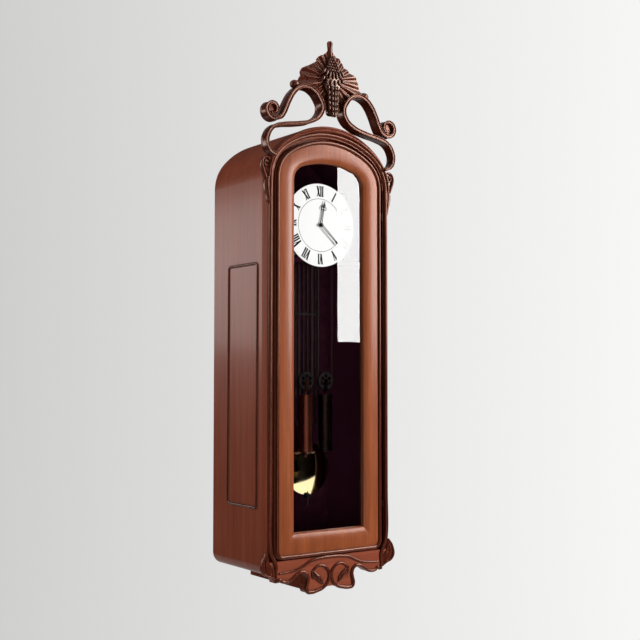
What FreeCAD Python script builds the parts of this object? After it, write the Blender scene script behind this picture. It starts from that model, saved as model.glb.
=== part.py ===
"""Weight-driven wall clock in a carved, arched case with a glazed door.

Millimetres. The origin is the middle of the hanger hole on the wall plane, +X is the viewer's right,
+Y points into the wall and +Z up. Heights below the hanger are given as drops, and distances in front of
the wall as fronts.
"""
import FreeCAD
import Part
import math
import os
import re
import Sketcher

SIZES = {
    # Case boards
    "case_half_width": 173,
    "front_depth": 240,
    "board": 14,
    "back_thickness": 10,
    "spring_drop": 34,
    "arch_rise": 133,
    "shoulder_radius": 100,
    "case_drop": 935,
    "bottom_corner": 30,
    "bottom_land": 2,
    "block_half_width": 67,
    "block_height": 37,
    "panel_front": 197,
    "panel_back": 70,
    "panel_top_drop": 228,
    "panel_foot": 152,
    "panel_corner": 8,
    "panel_bead_radius": 3.6,
    # Front frame
    "stile_width": 15,
    "lip_width": 12,
    "lip_thickness": 6,
    "opening_rise": 107,
    "opening_shoulder": 85,
    "hood_side": 2,
    "hood_rise": 120,
    "hood_proud": 8,
    "edge_round": 4,
    "frame_bead_inset": 8,
    "frame_bead_radius": 5,
    "apron_lap": 35,
    "apron_height": 80,
    # Door
    "door_gap": 6,
    "door_thickness": 18,
    "door_stop_gap": 0.5,
    "door_foot_gap": 2,
    "door_corner": 22,
    "door_bead_inset": 5.5,
    "door_bead_radius": 4.8,
    "window_half_width": 97.5,
    "rail_height": 58,
    "window_rise": 47,
    "window_shoulder": 36,
    "window_bevel": 7.5,
    "glass_depth": 10,
    "glass_thickness": 3,
    "glass_margin": 5,
    "glazing_bead_radius": 2.5,
    "hinge_upper_drop": 100,
    "hinge_foot": 48,
    "knuckle_radius": 2.6,
    "knuckle_height": 5.4,
    "hinge_leaf": 1.2,
    "hinge_leaf_depth": 16,
    "hinge_pin_radius": 1.2,
    # Clearances
    "running_fit": 0.05,
    "side_play": 0.3,
    # Carved crest, side scrolls and ears
    "crest_height": 208,
    "crest_proud": 18,
    "crest_depth": 30,
    "ribbon_width": 9.5,
    "ribbon_end_width": 6,
    "leaf_proud": 8,
    "leaf_depth": 16,
    "grape_proud": 12,
    "scroll_proud": 5,
    "scroll_depth": 14,
    "ear_proud": 4,
    "ear_depth": 20,
    # Hanger
    "hanger_hole_radius": 6,
    "hanger_width": 60,
    "hanger_height": 44,
    "hanger_thickness": 3,
    "hanger_room_radius": 9,
    # Movement frame
    "movement_setback": 52,
    "dial_drop": 127.5,
    "dial_radius": 99,
    "dial_standoff": 11,
    "dial_thickness": 1.5,
    "dial_hole_radius": 3.2,
    "dial_foot_radius": 3,
    "dial_foot_offset": 38,
    "dial_foot_drop": 72.5,
    "plate_thickness": 2.5,
    "plate_gap": 23.5,
    "plate_half_width": 50,
    "plate_top_drop": 52.5,
    "pillar_radius": 2.5,
    "pillar_inset": 4,
    "pillar_middle_drop": 98.5,
    "seat_clearance": 2.1,
    "seat_thickness": 12,
    "seat_overhang": 9,
    "seat_depth": 40,
    "line_hole_radius": 4,
    "cleat_size": 14,
    # Wheel train
    "tooth_height": 0.6,
    "tooth_depth": 1.0,
    "great_module": 1.2,
    "great_teeth": 66,
    "centre_pinion_teeth": 15,
    "centre_module": 0.9,
    "centre_teeth": 60,
    "third_pinion_teeth": 10,
    "third_module": 0.8,
    "third_teeth": 56,
    "escape_pinion_teeth": 8,
    "escape_teeth": 30,
    "escape_radius": 18,
    "escape_tooth_height": 4,
    "motion_distance": 15,
    "cannon_teeth": 12,
    "minute_wheel_teeth": 36,
    "minute_pinion_teeth": 10,
    "minute_stud_length": 7,
    "hour_teeth": 40,
    "third_offset": 20,
    "wheel_thickness": 1.6,
    "arbor_radius": 2,
    "hand_arbor_radius": 1.5,
    "hour_tube_radius": 2.6,
    "pivot_radius": 1,
    "minute_hand_length": 71,
    "hour_hand_length": 60,
    "hand_thickness": 1,
    "minute_hand_turn": 132,
    "hour_hand_turn": 11,
    # Weights and lines
    "drum_offset": 32,
    "drum_pitch_radius": 16,
    "drum_flange_radius": 18.5,
    "drum_flange": 1,
    "drum_width": 8.6,
    "drum_arbor_radius": 2.5,
    "weight_offset": 28,
    "line_setback": 8,
    "line_radius": 0.6,
    "pulley_pitch_radius": 20,
    "pulley_flange": 1.5,
    "pulley_width": 6,
    "pulley_drop": 497,
    "pulley_spokes": 6,
    "weight_top_drop": 530,
    "weight_height": 133,
    "weight_radius": 17,
    "weight_base_height": 6,
    "weight_base_overhang": 1.5,
    "finial_length": 10,
    "finial_radius": 4,
    "stirrup_width": 8,
    "stirrup_thickness": 1.5,
    "axle_radius": 1.5,
    # Pendulum
    "pendulum_setback": 42,
    "rod_radius": 2,
    "rod_pitch": 11.5,
    "gridiron_top_drop": 86.5,
    "gridiron_bar_drop": 337,
    "gridiron_foot_drop": 600,
    "gridiron_bar_height": 5,
    "gridiron_bar_depth": 6,
    "rod_top_drop": 74.5,
    "bob_drop": 706,
    "bob_radius": 62,
    "bob_thickness": 16,
    "rod_end_drop": 796,
    "rating_nut_radius": 9,
    "rating_nut_height": 7,
    "spring_width": 6,
    "spring_thickness": 0.5,
    "cock_half_width": 8,
    "cock_thickness": 4,
    "cheek_thickness": 1.5,
    # Strike
    "lifting_pins": 8,
    "lifting_radius": 18,
    "gong_offset": 84,
    "gong_setback": 22,
    "gong_rod_radius": 2,
    "gong_rod_length": 150,
    "gong_post_size": 12,
    "gong_post_gap": 6,
    "gong_top_drop": 38.5,
    "hammer_arbor_offset": 44,
    "hammer_arbor_drop": 122.5,
    "hammer_head_radius": 4,
    "hammer_head_length": 8,
    "hammer_head_drop": 85.5,
}

RIGHT = FreeCAD.Vector(1, 0, 0)
BACK = FreeCAD.Vector(0, 1, 0)
UP = FreeCAD.Vector(0, 0, 1)
FRONT_VIEW = FreeCAD.Rotation(RIGHT, 90)
SIDE_VIEW = FreeCAD.Rotation(FreeCAD.Vector(1, 1, 1), 120)
ALONG_Y = FreeCAD.Rotation(RIGHT, -90)
ALONG_X = FreeCAD.Rotation(BACK, 90)

# Derived places, written as expressions over the sizes
LIP_FRONT = "(door_thickness + door_stop_gap)"
FRAME_THICKNESS = f"({LIP_FRONT} + lip_thickness)"
CARCASS_DEPTH = f"(front_depth - {FRAME_THICKNESS})"
BOTTOM_RIM = "(bottom_corner + bottom_land)"
INNER_HALF = "(case_half_width - board)"
OPENING = "(case_half_width - stile_width)"
DOOR_HALF = f"({OPENING} - door_gap)"
HINGE_X = f"({OPENING} - door_gap / 2)"
PLATE_BACK = "(plate_front - plate_thickness)"
BACK_PLATE_FRONT = f"({PLATE_BACK} - plate_gap)"
BACK_PLATE_BACK = f"({BACK_PLATE_FRONT} - plate_thickness)"
GREAT_REACH = "(great_module * (great_teeth + centre_pinion_teeth) / 2)"
THIRD_REACH = "(centre_module * (centre_teeth + third_pinion_teeth) / 2)"
ESCAPE_REACH = "(third_module * (third_teeth + escape_pinion_teeth) / 2)"
DRUM_DROP = f"(dial_drop + sqrt({GREAT_REACH}^2 - drum_offset^2))"
THIRD_DROP = f"(dial_drop - sqrt({THIRD_REACH}^2 - third_offset^2))"
ESCAPE_DROP = f"({THIRD_DROP} - sqrt({ESCAPE_REACH}^2 - third_offset^2))"
ANCHOR_DROP = f"({ESCAPE_DROP} - escape_radius * sqrt(2))"
LINE_OUTER = "(weight_offset + pulley_pitch_radius)"
LINE_INNER = "(weight_offset - pulley_pitch_radius)"
PULLEY_GROOVE = "(pulley_pitch_radius - line_radius - side_play)"

# Drops and distances before the wall that follow from the sizes
FOLLOWING = {
    "panel_bottom_drop": "case_drop - panel_foot",
    "apron_drop": "case_drop - apron_lap",
    "door_drop": "apron_drop - door_foot_gap",
    "window_drop": "door_drop - rail_height",
    "hinge_lower_drop": "window_drop - hinge_foot",
    "plate_front": "front_depth - movement_setback",
    "dial_front": "plate_front + dial_standoff",
    "seat_front": "plate_front + seat_overhang",
    "seat_back": "seat_front - seat_depth",
    "line_front": "plate_front - line_setback",
    "pendulum_front": "plate_front - pendulum_setback",
    "gong_front": "plate_front - gong_setback",
    "seat_drop": f"{DRUM_DROP} + great_module * (great_teeth / 2 + tooth_height) + seat_clearance",
}

CASE_ARCH = ("case_half_width", "shoulder_radius", "arch_rise")
OPENING_ARCH = (OPENING, "opening_shoulder", "opening_rise")
WINDOW_ARCH = ("window_half_width", "window_shoulder", "window_rise")

doc = FreeCAD.newDocument("wall_clock")
sheet = doc.addObject("Spreadsheet::Sheet", "Sizes")
for row, (alias, value) in enumerate(SIZES.items(), start=1):
    sheet.set(f"A{row}", alias)
    sheet.set(f"B{row}", str(value))
    sheet.setAlias(f"B{row}", alias)
doc.recompute()

nodes = {}


# Binding to the sheet

def bind(text):
    """The expression with each size's name pointed at the sheet."""
    def written_out(word):
        name = word[0]
        if name in FOLLOWING:
            return f"({bind(FOLLOWING[name])})"
        return f"Sizes.{name}" if name in SIZES else name
    return re.sub(r"[a-z][a-z_]*", written_out, text)


def num(text):
    """The number that an expression over the sheet comes to."""
    return float(sheet.evalExpression(bind(text)))


def set_sizes(item, **expressions):
    """Binds an object's properties to the sheet."""
    for name, text in expressions.items():
        item.setExpression(name, bind(text))


def place(item, x="0", y="0", z="0", turn=None):
    """Turns an object and binds its place to the sheet."""
    if turn:
        item.Placement = FreeCAD.Placement(FreeCAD.Vector(), turn)
    for axis, text in zip("xyz", (x, y, z)):
        item.setExpression(f"Placement.Base.{axis}", bind(text))


def inset(arch_sizes, amount):
    """The sizes of an arch that runs parallel to another, inside it."""
    return tuple(f"({text} - {amount})" for text in arch_sizes)


# Primitives and booleans

def node(label, item):
    """Names an object as one sub-part of the clock."""
    item.Label = label
    nodes[label] = item
    return item


def box(name, low, size):
    item = doc.addObject("Part::Box", name)
    set_sizes(item, Length=size[0], Width=size[1], Height=size[2])
    place(item, *low)
    return item


def rod(name, start, length, radius, turn=None):
    item = doc.addObject("Part::Cylinder", name)
    set_sizes(item, Radius=radius, Height=length)
    place(item, *start, turn=turn)
    return item


def fuse(name, items):
    item = doc.addObject("Part::MultiFuse", name)
    item.Shapes = list(items)
    return item


def cut(name, base, tool):
    item = doc.addObject("Part::Cut", name)
    item.Base = base
    item.Tool = tool
    return item


def group(name, items):
    item = doc.addObject("Part::Compound", name)
    item.Links = list(items)
    return item


def mirrored(label, source):
    """The same piece on the other side of the clock's middle."""
    item = doc.addObject("Part::Mirroring", f"{label}_mirror")
    item.Source = source
    item.Normal = RIGHT
    return node(label, item)


def carved(label, shape):
    """A sub-part whose solid is worked out from its outline."""
    item = doc.addObject("Part::Feature", f"{label}_solid")
    item.Shape = shape
    return node(label, item)


# Sketches

def body_at(label, x="0", y="0", z="0"):
    item = doc.addObject("PartDesign::Body", f"{label}_body")
    place(item, x, y, z)
    return node(label, item)


def sketch_in(body, role, depth=None):
    """A sketch on one of the body's own planes, or set back from it by a depth."""
    plane = next(item for item in body.Origin.OriginFeatures if item.Role == role)
    sketch = body.newObject("Sketcher::SketchObject", f"{body.Name}_sketch")
    sketch.AttachmentSupport = [(plane, "")]
    sketch.MapMode = "FlatFace"
    if depth:
        sketch.setExpression("AttachmentOffset.Base.z", bind(f"-{depth}"))
    return sketch


def pad(body, sketch, length, backwards=False):
    feature = body.newObject("PartDesign::Pad", f"{sketch.Name}_pad")
    feature.Profile = sketch
    feature.Reversed = backwards
    set_sizes(feature, Length=length)
    return feature


def fillet(body, base, radius, chosen):
    """Rounds the edges of a body's feature that the test picks out."""
    doc.recompute()
    names = [f"Edge{i}" for i, edge in enumerate(base.Shape.Edges, start=1) if chosen(edge)]
    feature = body.newObject("PartDesign::Fillet", f"{base.Name}_fillet")
    feature.Base = (base, names)
    set_sizes(feature, Radius=radius)
    return feature


def along_at(axis, x, y):
    """A test for straight edges along an axis, 1 for Y or 2 for Z, at a place across it."""
    across = (0, 2) if axis == 1 else (0, 1)

    def chosen(edge):
        low, high = edge.BoundBox, edge.CenterOfMass
        lengths = (low.XLength, low.YLength, low.ZLength)
        straight = max(lengths[i] for i in across) < 1e-6
        return straight and abs(high[across[0]] - x) < 1e-3 and abs(high[across[1]] - y) < 1e-3
    return chosen


def dimension(sketch, kind, refs, text):
    """A sketch dimension bound to the sheet."""
    index = sketch.addConstraint(Sketcher.Constraint(kind, *refs, num(text)))
    sketch.setExpression(f"Constraints[{index}]", bind(text))


def rules(sketch, *constraints):
    for constraint in constraints:
        sketch.addConstraint(Sketcher.Constraint(*constraint))


def add_line(sketch, start, end):
    return sketch.addGeometry(Part.LineSegment(FreeCAD.Vector(*start, 0), FreeCAD.Vector(*end, 0)))


def add_arc(sketch, centre, radius, start, end):
    circle = Part.Circle(FreeCAD.Vector(*centre, 0), UP, radius)
    return sketch.addGeometry(Part.ArcOfCircle(circle, start, end))


def join(sketch, first, second):
    """A line between two points of the sketch, each given as geometry and end."""
    ends = [sketch.getPoint(*point) for point in (first, second)]
    line = add_line(sketch, ends[0][:2], ends[1][:2])
    rules(sketch, ("Coincident", line, 1, *first), ("Coincident", line, 2, *second))
    return line


def polygon(sketch, points):
    """A closed outline whose corners are expressions, none of them below zero."""
    spots = [(num(x), num(y)) for x, y in points]
    lines = [add_line(sketch, *pair) for pair in zip(spots, spots[1:] + spots[:1])]
    for i, line in enumerate(lines):
        rules(sketch, ("Coincident", lines[i - 1], 2, line, 1))
    for line, texts, spot in zip(lines, points, spots):
        for kind, text, value, axis in zip(("DistanceX", "DistanceY"), texts, spot, (-2, -1)):
            if value == 0:
                rules(sketch, ("PointOnObject", line, 1, axis))
            else:
                dimension(sketch, kind, (-1, 1, line, 1), text)


def arch(sketch, half_width, shoulder, rise):
    """A three-centred arch over the spring line, from right to left; gives its two shoulders."""
    w, r, h = num(half_width), num(shoulder), num(rise)
    spread, lift = f"({half_width} - {shoulder})", f"({rise} - {shoulder})"
    crown = f"({spread}^2 + ({rise})^2 - ({shoulder})^2) / (2 * {lift})"
    top_radius = num(crown)
    angle = math.atan2(top_radius - h, w - r)
    right = add_arc(sketch, (w - r, 0), r, 0, angle)
    top = add_arc(sketch, (0, h - top_radius), top_radius, angle, math.pi - angle)
    left = add_arc(sketch, (r - w, 0), r, math.pi - angle, math.pi)
    dimension(sketch, "Radius", (right,), shoulder)
    dimension(sketch, "DistanceX", (-1, 1, right, 3), f"({half_width}) - ({shoulder})")
    rules(sketch,
          ("PointOnObject", right, 3, -1),
          ("PointOnObject", right, 1, -1),
          ("Equal", right, left),
          ("Symmetric", right, 3, left, 3, -2),
          ("PointOnObject", left, 2, -1),
          ("Tangent", right, 2, top, 1),
          ("Tangent", top, 2, left, 1))
    dimension(sketch, "Radius", (top,), crown)
    return right, left


def ring(sketch, outer, inner):
    """The space between two arches on the same spring line."""
    outer_right, outer_left = arch(sketch, *outer)
    inner_right, inner_left = arch(sketch, *inner)
    join(sketch, (inner_right, 1), (outer_right, 1))
    join(sketch, (inner_left, 2), (outer_left, 2))


def panel(sketch, sizes, drop, corner):
    """An arched panel with round lower corners, from the spring line down by a drop."""
    right, left = arch(sketch, *sizes)
    w, d, c = num(sizes[0]), num(drop), num(corner)
    left_edge = add_line(sketch, (-w, 0), (-w, c - d))
    left_corner = add_arc(sketch, (c - w, c - d), c, math.pi, 1.5 * math.pi)
    foot = add_line(sketch, (c - w, -d), (w - c, -d))
    right_corner = add_arc(sketch, (w - c, c - d), c, 1.5 * math.pi, 2 * math.pi)
    right_edge = add_line(sketch, (w, c - d), (w, 0))
    rules(sketch,
          ("Coincident", left, 2, left_edge, 1),
          ("Vertical", left_edge),
          ("Tangent", left_edge, 2, left_corner, 1),
          ("Tangent", left_corner, 2, foot, 1),
          ("Horizontal", foot),
          ("Tangent", foot, 2, right_corner, 1),
          ("Tangent", right_corner, 2, right_edge, 1),
          ("Vertical", right_edge),
          ("Coincident", right_edge, 2, right, 1),
          ("Equal", left_corner, right_corner))
    dimension(sketch, "Radius", (left_corner,), corner)
    dimension(sketch, "DistanceY", (foot, 1, -1, 1), drop)


def half_round(name, x, y, z, radius, start, axis):
    """A half-round bead's section, lying flat at a height, with its flat along one sketch axis."""
    sketch = doc.addObject("Sketcher::SketchObject", name)
    curve = add_arc(sketch, (0, 0), num(radius), math.radians(start), math.radians(start + 180))
    rules(sketch, ("Coincident", curve, 3, -1, 1), ("PointOnObject", curve, 1, axis),
          ("PointOnObject", curve, 2, axis))
    dimension(sketch, "Radius", (curve,), radius)
    join(sketch, (curve, 2), (curve, 1))
    place(sketch, x, y, z)
    return sketch


def path_sketch(name, x, y, z, turn):
    sketch = doc.addObject("Sketcher::SketchObject", name)
    place(sketch, x, y, z, turn=turn)
    return sketch


def sweep(name, section, path):
    """A bead run along the whole of a path."""
    doc.recompute()
    item = doc.addObject("Part::Sweep", name)
    item.Sections = [section]
    item.Spine = (path, [f"Edge{i}" for i in range(1, len(path.Shape.Edges) + 1)])
    item.Solid = True
    return item


# Case boards

def make_carcass():
    """Sides, arched top, bottom with round corners, back board and the block underneath."""
    depth = CARCASS_DEPTH
    side_foot = f"-(case_drop - {BOTTOM_RIM})"
    side_height = f"case_drop - {BOTTOM_RIM} - spring_drop"
    side = box("side_board", (INNER_HALF, f"-{depth}", side_foot), ("board", depth, side_height))
    node("side_right", side)
    mirrored("side_left", side)

    top = body_at("arched_top", y=f"-{depth}", z="-spring_drop")
    outline = sketch_in(top, "XZ_Plane")
    ring(outline, CASE_ARCH, inset(CASE_ARCH, "board"))
    pad(top, outline, depth, backwards=True)

    width = "(2 * case_half_width)"
    bottom = body_at("bottom_board", "-case_half_width", f"-{depth}", "-case_drop")
    outline = sketch_in(bottom, "XZ_Plane")
    polygon(outline, [("0", "0"), (width, "0"), (width, BOTTOM_RIM), (f"{width} - board", BOTTOM_RIM),
                      (f"{width} - board", "board"), ("board", "board"), ("board", BOTTOM_RIM),
                      ("0", BOTTOM_RIM)])
    tray = pad(bottom, outline, depth, backwards=True)
    for corner, radius in (("0", "bottom_corner"), ("board", "(bottom_corner - board)")):
        left = along_at(1, num(corner), num(corner))
        right = along_at(1, num(f"{width} - {corner}"), num(corner))
        tray = fillet(bottom, tray, radius, lambda edge: left(edge) or right(edge))

    back = body_at("back_panel", y="-back_thickness", z="-spring_drop")
    outline = sketch_in(back, "XZ_Plane")
    panel(outline, inset(CASE_ARCH, "board"), "case_drop - board - spring_drop", "bottom_corner - board")
    pad(back, outline, "back_thickness", backwards=True)
    nodes.pop("back_panel")
    recess = box("hanger_recess", ("-hanger_width / 2", "-hanger_thickness", "-hanger_height / 2"),
                 ("hanger_width", "hanger_thickness", "hanger_height"))
    room = rod("hanger_room", ("0", "-back_thickness", "0"), "back_thickness", "hanger_room_radius", ALONG_Y)
    node("back_board", cut("back_board_cut", back, fuse("hanger_space", [recess, room])))

    plate = box("hanger_blank", ("-hanger_width / 2", "-hanger_thickness", "-hanger_height / 2"),
                ("hanger_width", "hanger_thickness", "hanger_height"))
    hole = rod("hanger_hole", ("0", "-hanger_thickness", "0"), "hanger_thickness", "hanger_hole_radius",
               ALONG_Y)
    node("hanger_plate", cut("hanger_plate_cut", plate, hole))

    node("bottom_block", box("block", ("-block_half_width", f"-{depth}", "-(case_drop + block_height)"),
                             ("2 * block_half_width", depth, "block_height")))


def make_side_beads():
    """A half-round bead that outlines a panel on each side board."""
    width, height = "(panel_front - panel_back)", "(panel_bottom_drop - panel_top_drop)"
    middle_y, middle_z = "-(panel_front + panel_back) / 2", "-(panel_bottom_drop + panel_top_drop) / 2"
    path = path_sketch("panel_path", "case_half_width", middle_y, middle_z, SIDE_VIEW)
    a, b, c = num(width) / 2, num(height) / 2, num("panel_corner")
    corners = [(a - c, b - c, 0), (c - a, b - c, 90), (c - a, c - b, 180), (a - c, c - b, 270)]
    ends = [((a, c - b), (a, b - c)), ((a - c, b), (c - a, b)), ((-a, b - c), (-a, c - b)),
            ((c - a, -b), (a - c, -b))]
    lines, arcs = [], []
    for (x, z, turn), (start, end) in zip(corners, ends):
        lines.append(add_line(path, start, end))
        arcs.append(add_arc(path, (x, z), c, math.radians(turn), math.radians(turn + 90)))
    for i in range(4):
        rules(path, ("Tangent", lines[i], 2, arcs[i], 1), ("Tangent", arcs[i], 2, lines[(i + 1) % 4], 1))
        rules(path, ("Vertical" if i % 2 == 0 else "Horizontal", lines[i]))
    rules(path, *(("Equal", arcs[0], arc) for arc in arcs[1:]))
    rules(path, ("Symmetric", arcs[0], 3, arcs[2], 3, -1, 1))
    dimension(path, "Radius", (arcs[0],), "panel_corner")
    dimension(path, "DistanceX", (lines[2], 1, lines[0], 2), width)
    dimension(path, "DistanceY", (lines[3], 2, lines[1], 1), height)
    section = half_round("panel_section", "case_half_width", f"{middle_y} + {width} / 2",
                         f"{middle_z} - {height} / 2 + panel_corner", "panel_bead_radius", -90, -2)
    right = sweep("panel_bead", section, path)
    left = doc.addObject("Part::Mirroring", "panel_bead_mirror")
    left.Source = right
    left.Normal = RIGHT
    node("side_beads", group("panel_beads", [right, left]))


# Front frame

def make_front_frame():
    """Rebated stiles, the arch over the door with its crescent hood, and the bead round them."""
    stile = body_at("frame_stile_right", y="-front_depth", z="-apron_drop")
    section = sketch_in(stile, "XY_Plane")
    stop = f"({OPENING} - lip_width)"
    polygon(section, [(OPENING, "0"), ("case_half_width", "0"), ("case_half_width", FRAME_THICKNESS),
                      (stop, FRAME_THICKNESS), (stop, LIP_FRONT), (OPENING, LIP_FRONT)])
    blank = pad(stile, section, "apron_drop - spring_drop")
    fillet(stile, blank, "edge_round", along_at(2, num("case_half_width"), 0))
    mirrored("frame_stile_left", stile)

    head = body_at("frame_arch", y="-front_depth", z="-spring_drop")
    outline = sketch_in(head, "XZ_Plane")
    ring(outline, CASE_ARCH, OPENING_ARCH)
    pad(head, outline, FRAME_THICKNESS, backwards=True)
    lip = sketch_in(head, "XZ_Plane", LIP_FRONT)
    ring(lip, OPENING_ARCH, inset(OPENING_ARCH, "lip_width"))
    pad(head, lip, "lip_thickness", backwards=True)
    hood = sketch_in(head, "XZ_Plane")
    ring(hood, CASE_ARCH, ("(case_half_width - hood_side)", "(shoulder_radius - hood_side)", "hood_rise"))
    pad(head, hood, "hood_proud")

    bead_arch = inset(CASE_ARCH[:1], "frame_bead_inset") + tuple(
        f"({text} + stile_width - frame_bead_inset)" for text in OPENING_ARCH[1:])
    path = path_sketch("frame_bead_path", "0", "-front_depth", "-spring_drop", FRONT_VIEW)
    w, length = num(bead_arch[0]), num("apron_drop - spring_drop")
    right_run = add_line(path, (w, -length), (w, 0))
    right, left = arch(path, *bead_arch)
    left_run = add_line(path, (-w, 0), (-w, -length))
    rules(path, ("Coincident", right_run, 2, right, 1), ("Coincident", left_run, 1, left, 2),
          ("Vertical", right_run), ("Vertical", left_run), ("Equal", right_run, left_run))
    dimension(path, "DistanceY", (right_run, 1, -1, 1), "apron_drop - spring_drop")
    section = half_round("frame_bead_section", bead_arch[0], "-front_depth", "-apron_drop",
                         "frame_bead_radius", 180, -1)
    node("frame_bead", sweep("frame_bead_sweep", section, path))


# Door

def make_door():
    """Two stiles, arched head and bottom rail round a bevelled window, with glass and beads."""
    rebate = "(window_half_width + glass_margin)"
    stile = body_at("door_stile_right", y="-front_depth", z="-window_drop")
    section = sketch_in(stile, "XY_Plane")
    polygon(section, [("window_half_width + window_bevel", "0"), (DOOR_HALF, "0"),
                      (DOOR_HALF, "door_thickness"),
                      (rebate, "door_thickness"), (rebate, "glass_depth"),
                      ("window_half_width", "glass_depth"),
                      ("window_half_width", "window_bevel")])
    pad(stile, section, "window_drop - spring_drop")
    mirrored("door_stile_left", stile)

    outer = inset(OPENING_ARCH, "door_gap")
    head = body_at("door_arch", y="-front_depth", z="-spring_drop")
    front = sketch_in(head, "XZ_Plane")
    ring(front, outer, WINDOW_ARCH)
    face = pad(head, front, "glass_depth", backwards=True)
    behind = sketch_in(head, "XZ_Plane", "glass_depth")
    ring(behind, outer, inset(WINDOW_ARCH, "-glass_margin"))
    whole = pad(head, behind, "door_thickness - glass_depth", backwards=True)
    doc.recompute()
    reach = num("window_half_width + window_bevel")
    names = [f"Edge{i}" for i, edge in enumerate(whole.Shape.Edges, start=1)
             if edge.BoundBox.YLength < 1e-6 and abs(edge.CenterOfMass.y) < 1e-6
             and hasattr(edge.Curve, "Radius") and edge.BoundBox.XMax < reach
             and edge.BoundBox.ZMax < num("window_rise + 1")]
    bevel = head.newObject("PartDesign::Chamfer", "window_bevel_cut")
    bevel.Base = (whole, names)
    set_sizes(bevel, Size="window_bevel")

    rail = body_at("rail_blank", f"-{DOOR_HALF}", "-front_depth", "-door_drop")
    outline = sketch_in(rail, "XZ_Plane")
    width, height = f"(2 * {DOOR_HALF})", "rail_height"
    polygon(outline, [("0", "0"), (width, "0"), (width, height), ("0", height)])
    blank = pad(rail, outline, "door_thickness", backwards=True)
    left, right = along_at(1, 0, 0), along_at(1, num(width), 0)
    fillet(rail, blank, "door_corner", lambda edge: left(edge) or right(edge))
    nodes.pop("rail_blank")
    wedge = doc.addObject("Part::Wedge", "rail_bevel")
    set_sizes(wedge, Xmin="-(window_half_width + window_bevel)", Xmax="window_half_width + window_bevel",
              X2min="-window_half_width", X2max="window_half_width", Ymin="0", Ymax="window_bevel",
              Zmin="-window_bevel", Zmax="1", Z2min="0", Z2max="1")
    place(wedge, "0", "-front_depth", "-window_drop")
    seat = box("rail_rebate", (f"-{rebate}", "glass_depth - front_depth", "-(window_drop + glass_margin)"),
               (f"2 * {rebate}", "door_thickness - glass_depth", "glass_margin"))
    node("door_rail", cut("door_rail_cut", rail, fuse("rail_cuts", [wedge, seat])))

    pane_arch = inset(WINDOW_ARCH, "(side_play - glass_margin)")
    drop = "window_drop + glass_margin - side_play - spring_drop"
    pane = body_at("door_glass", y="glass_depth - front_depth", z="-spring_drop")
    outline = sketch_in(pane, "XZ_Plane")
    panel(outline, pane_arch, drop, "glass_thickness")
    pad(pane, outline, "glass_thickness", backwards=True)

    behind_glass = "(glass_depth + glass_thickness - front_depth)"
    bead_arch = inset(WINDOW_ARCH, "(glazing_bead_radius - glass_margin)")
    path = path_sketch("glazing_path", "0", behind_glass, "-spring_drop", FRONT_VIEW)
    panel(path, bead_arch, "window_drop + glass_margin - glazing_bead_radius - spring_drop",
          "2 * glazing_bead_radius")
    section = half_round("glazing_section", bead_arch[0], behind_glass, "-spring_drop", "glazing_bead_radius",
                         0, -1)
    node("glazing_bead", sweep("glazing_sweep", section, path))

    bead_arch = inset(OPENING_ARCH, "(door_gap + door_bead_inset)")
    path = path_sketch("door_bead_path", "0", "-front_depth", "-spring_drop", FRONT_VIEW)
    panel(path, bead_arch, "door_drop - door_bead_inset - spring_drop", "door_corner - door_bead_inset")
    section = half_round("door_bead_section", bead_arch[0], "-front_depth", "-spring_drop",
                         "door_bead_radius", 180, -1)
    node("door_bead", sweep("door_bead_sweep", section, path))


def make_hinges():
    """Two hinges at the right: outer knuckles and pin on the frame, the middle knuckle on the door."""
    pitch = "(knuckle_height + side_play)"
    length = "(3 * knuckle_height + 2 * side_play)"
    frame_sides, door_sides = [], []
    for name, drop in (("upper", "hinge_upper_drop"), ("lower", "hinge_lower_drop")):
        pieces = {}
        for level in (-1, 0, 1):
            tag = f"{name}_{level + 1}"
            foot = f"-{drop} + {level} * {pitch} - knuckle_height / 2"
            low_x = f"{OPENING} - hinge_leaf" if level else DOOR_HALF
            barrel = rod(f"knuckle_{tag}", (HINGE_X, "-front_depth", foot), "knuckle_height",
                         "knuckle_radius")
            leaf = box(f"leaf_{tag}", (low_x, "-front_depth", foot),
                       ("hinge_leaf", "hinge_leaf_depth", "knuckle_height"))
            pieces[level] = [barrel, leaf]
        pin = rod(f"pin_{name}", (HINGE_X, "-front_depth", f"-{drop} - {length} / 2"), length,
                  "hinge_pin_radius")
        frame_sides.append(fuse(f"frame_hinge_{name}", pieces[-1] + pieces[1] + [pin]))
        bore = rod(f"bore_{name}", (HINGE_X, "-front_depth", f"-{drop} - {length} / 2"), length,
                   "hinge_pin_radius + running_fit")
        door_sides.append(cut(f"door_hinge_{name}", fuse(f"door_hinge_blank_{name}", pieces[0]), bore))
    node("frame_hinges", group("frame_hinge_group", frame_sides))
    node("door_hinges", group("door_hinge_group", door_sides))


# Carving, drawn on the right half of the front and scaled to the case's width and the carving's height

RIBBON_POINTS = [(150, -2), (140, 12), (126, 42), (111, 66), (95, 79), (75, 84), (55, 78), (39, 62), (31, 42),
                 (38, 22), (60, 6), (100, -5), (140, -12), (165, -21), (179, -38), (182.5, -58), (175.5, -75),
                 (158, -84)]
VOLUTE_CENTRE = (166.5, 16)
VOLUTE_TURN = (-125, 305)
VOLUTE_RADII = (21, 6.5)
LEAF_TOP = [(0, 208), (5, 206), (7, 200), (7, 184), (10, 178), (20, 171), (33, 165), (37, 153), (55, 142),
            (77, 131),
            (83, 123), (83, 111), (90, 102), (108, 94), (114, 88), (112, 80), (104, 77), (96, 79)]
LEAF_FOOT = [(85, 82), (70, 84), (52, 77), (38, 60), (31, 44), (14, 40), (0, 40)]
GRAPE_SIDE = [(0, 172), (9, 164), (20, 138), (33, 108), (35, 97), (26, 84), (19, 70), (16, 45), (13, 30),
              (0, 23)]
APRON_END = [(173, -6), (172, -13), (169, -20), (160, -30), (154, -38), (151, -47)]
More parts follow.
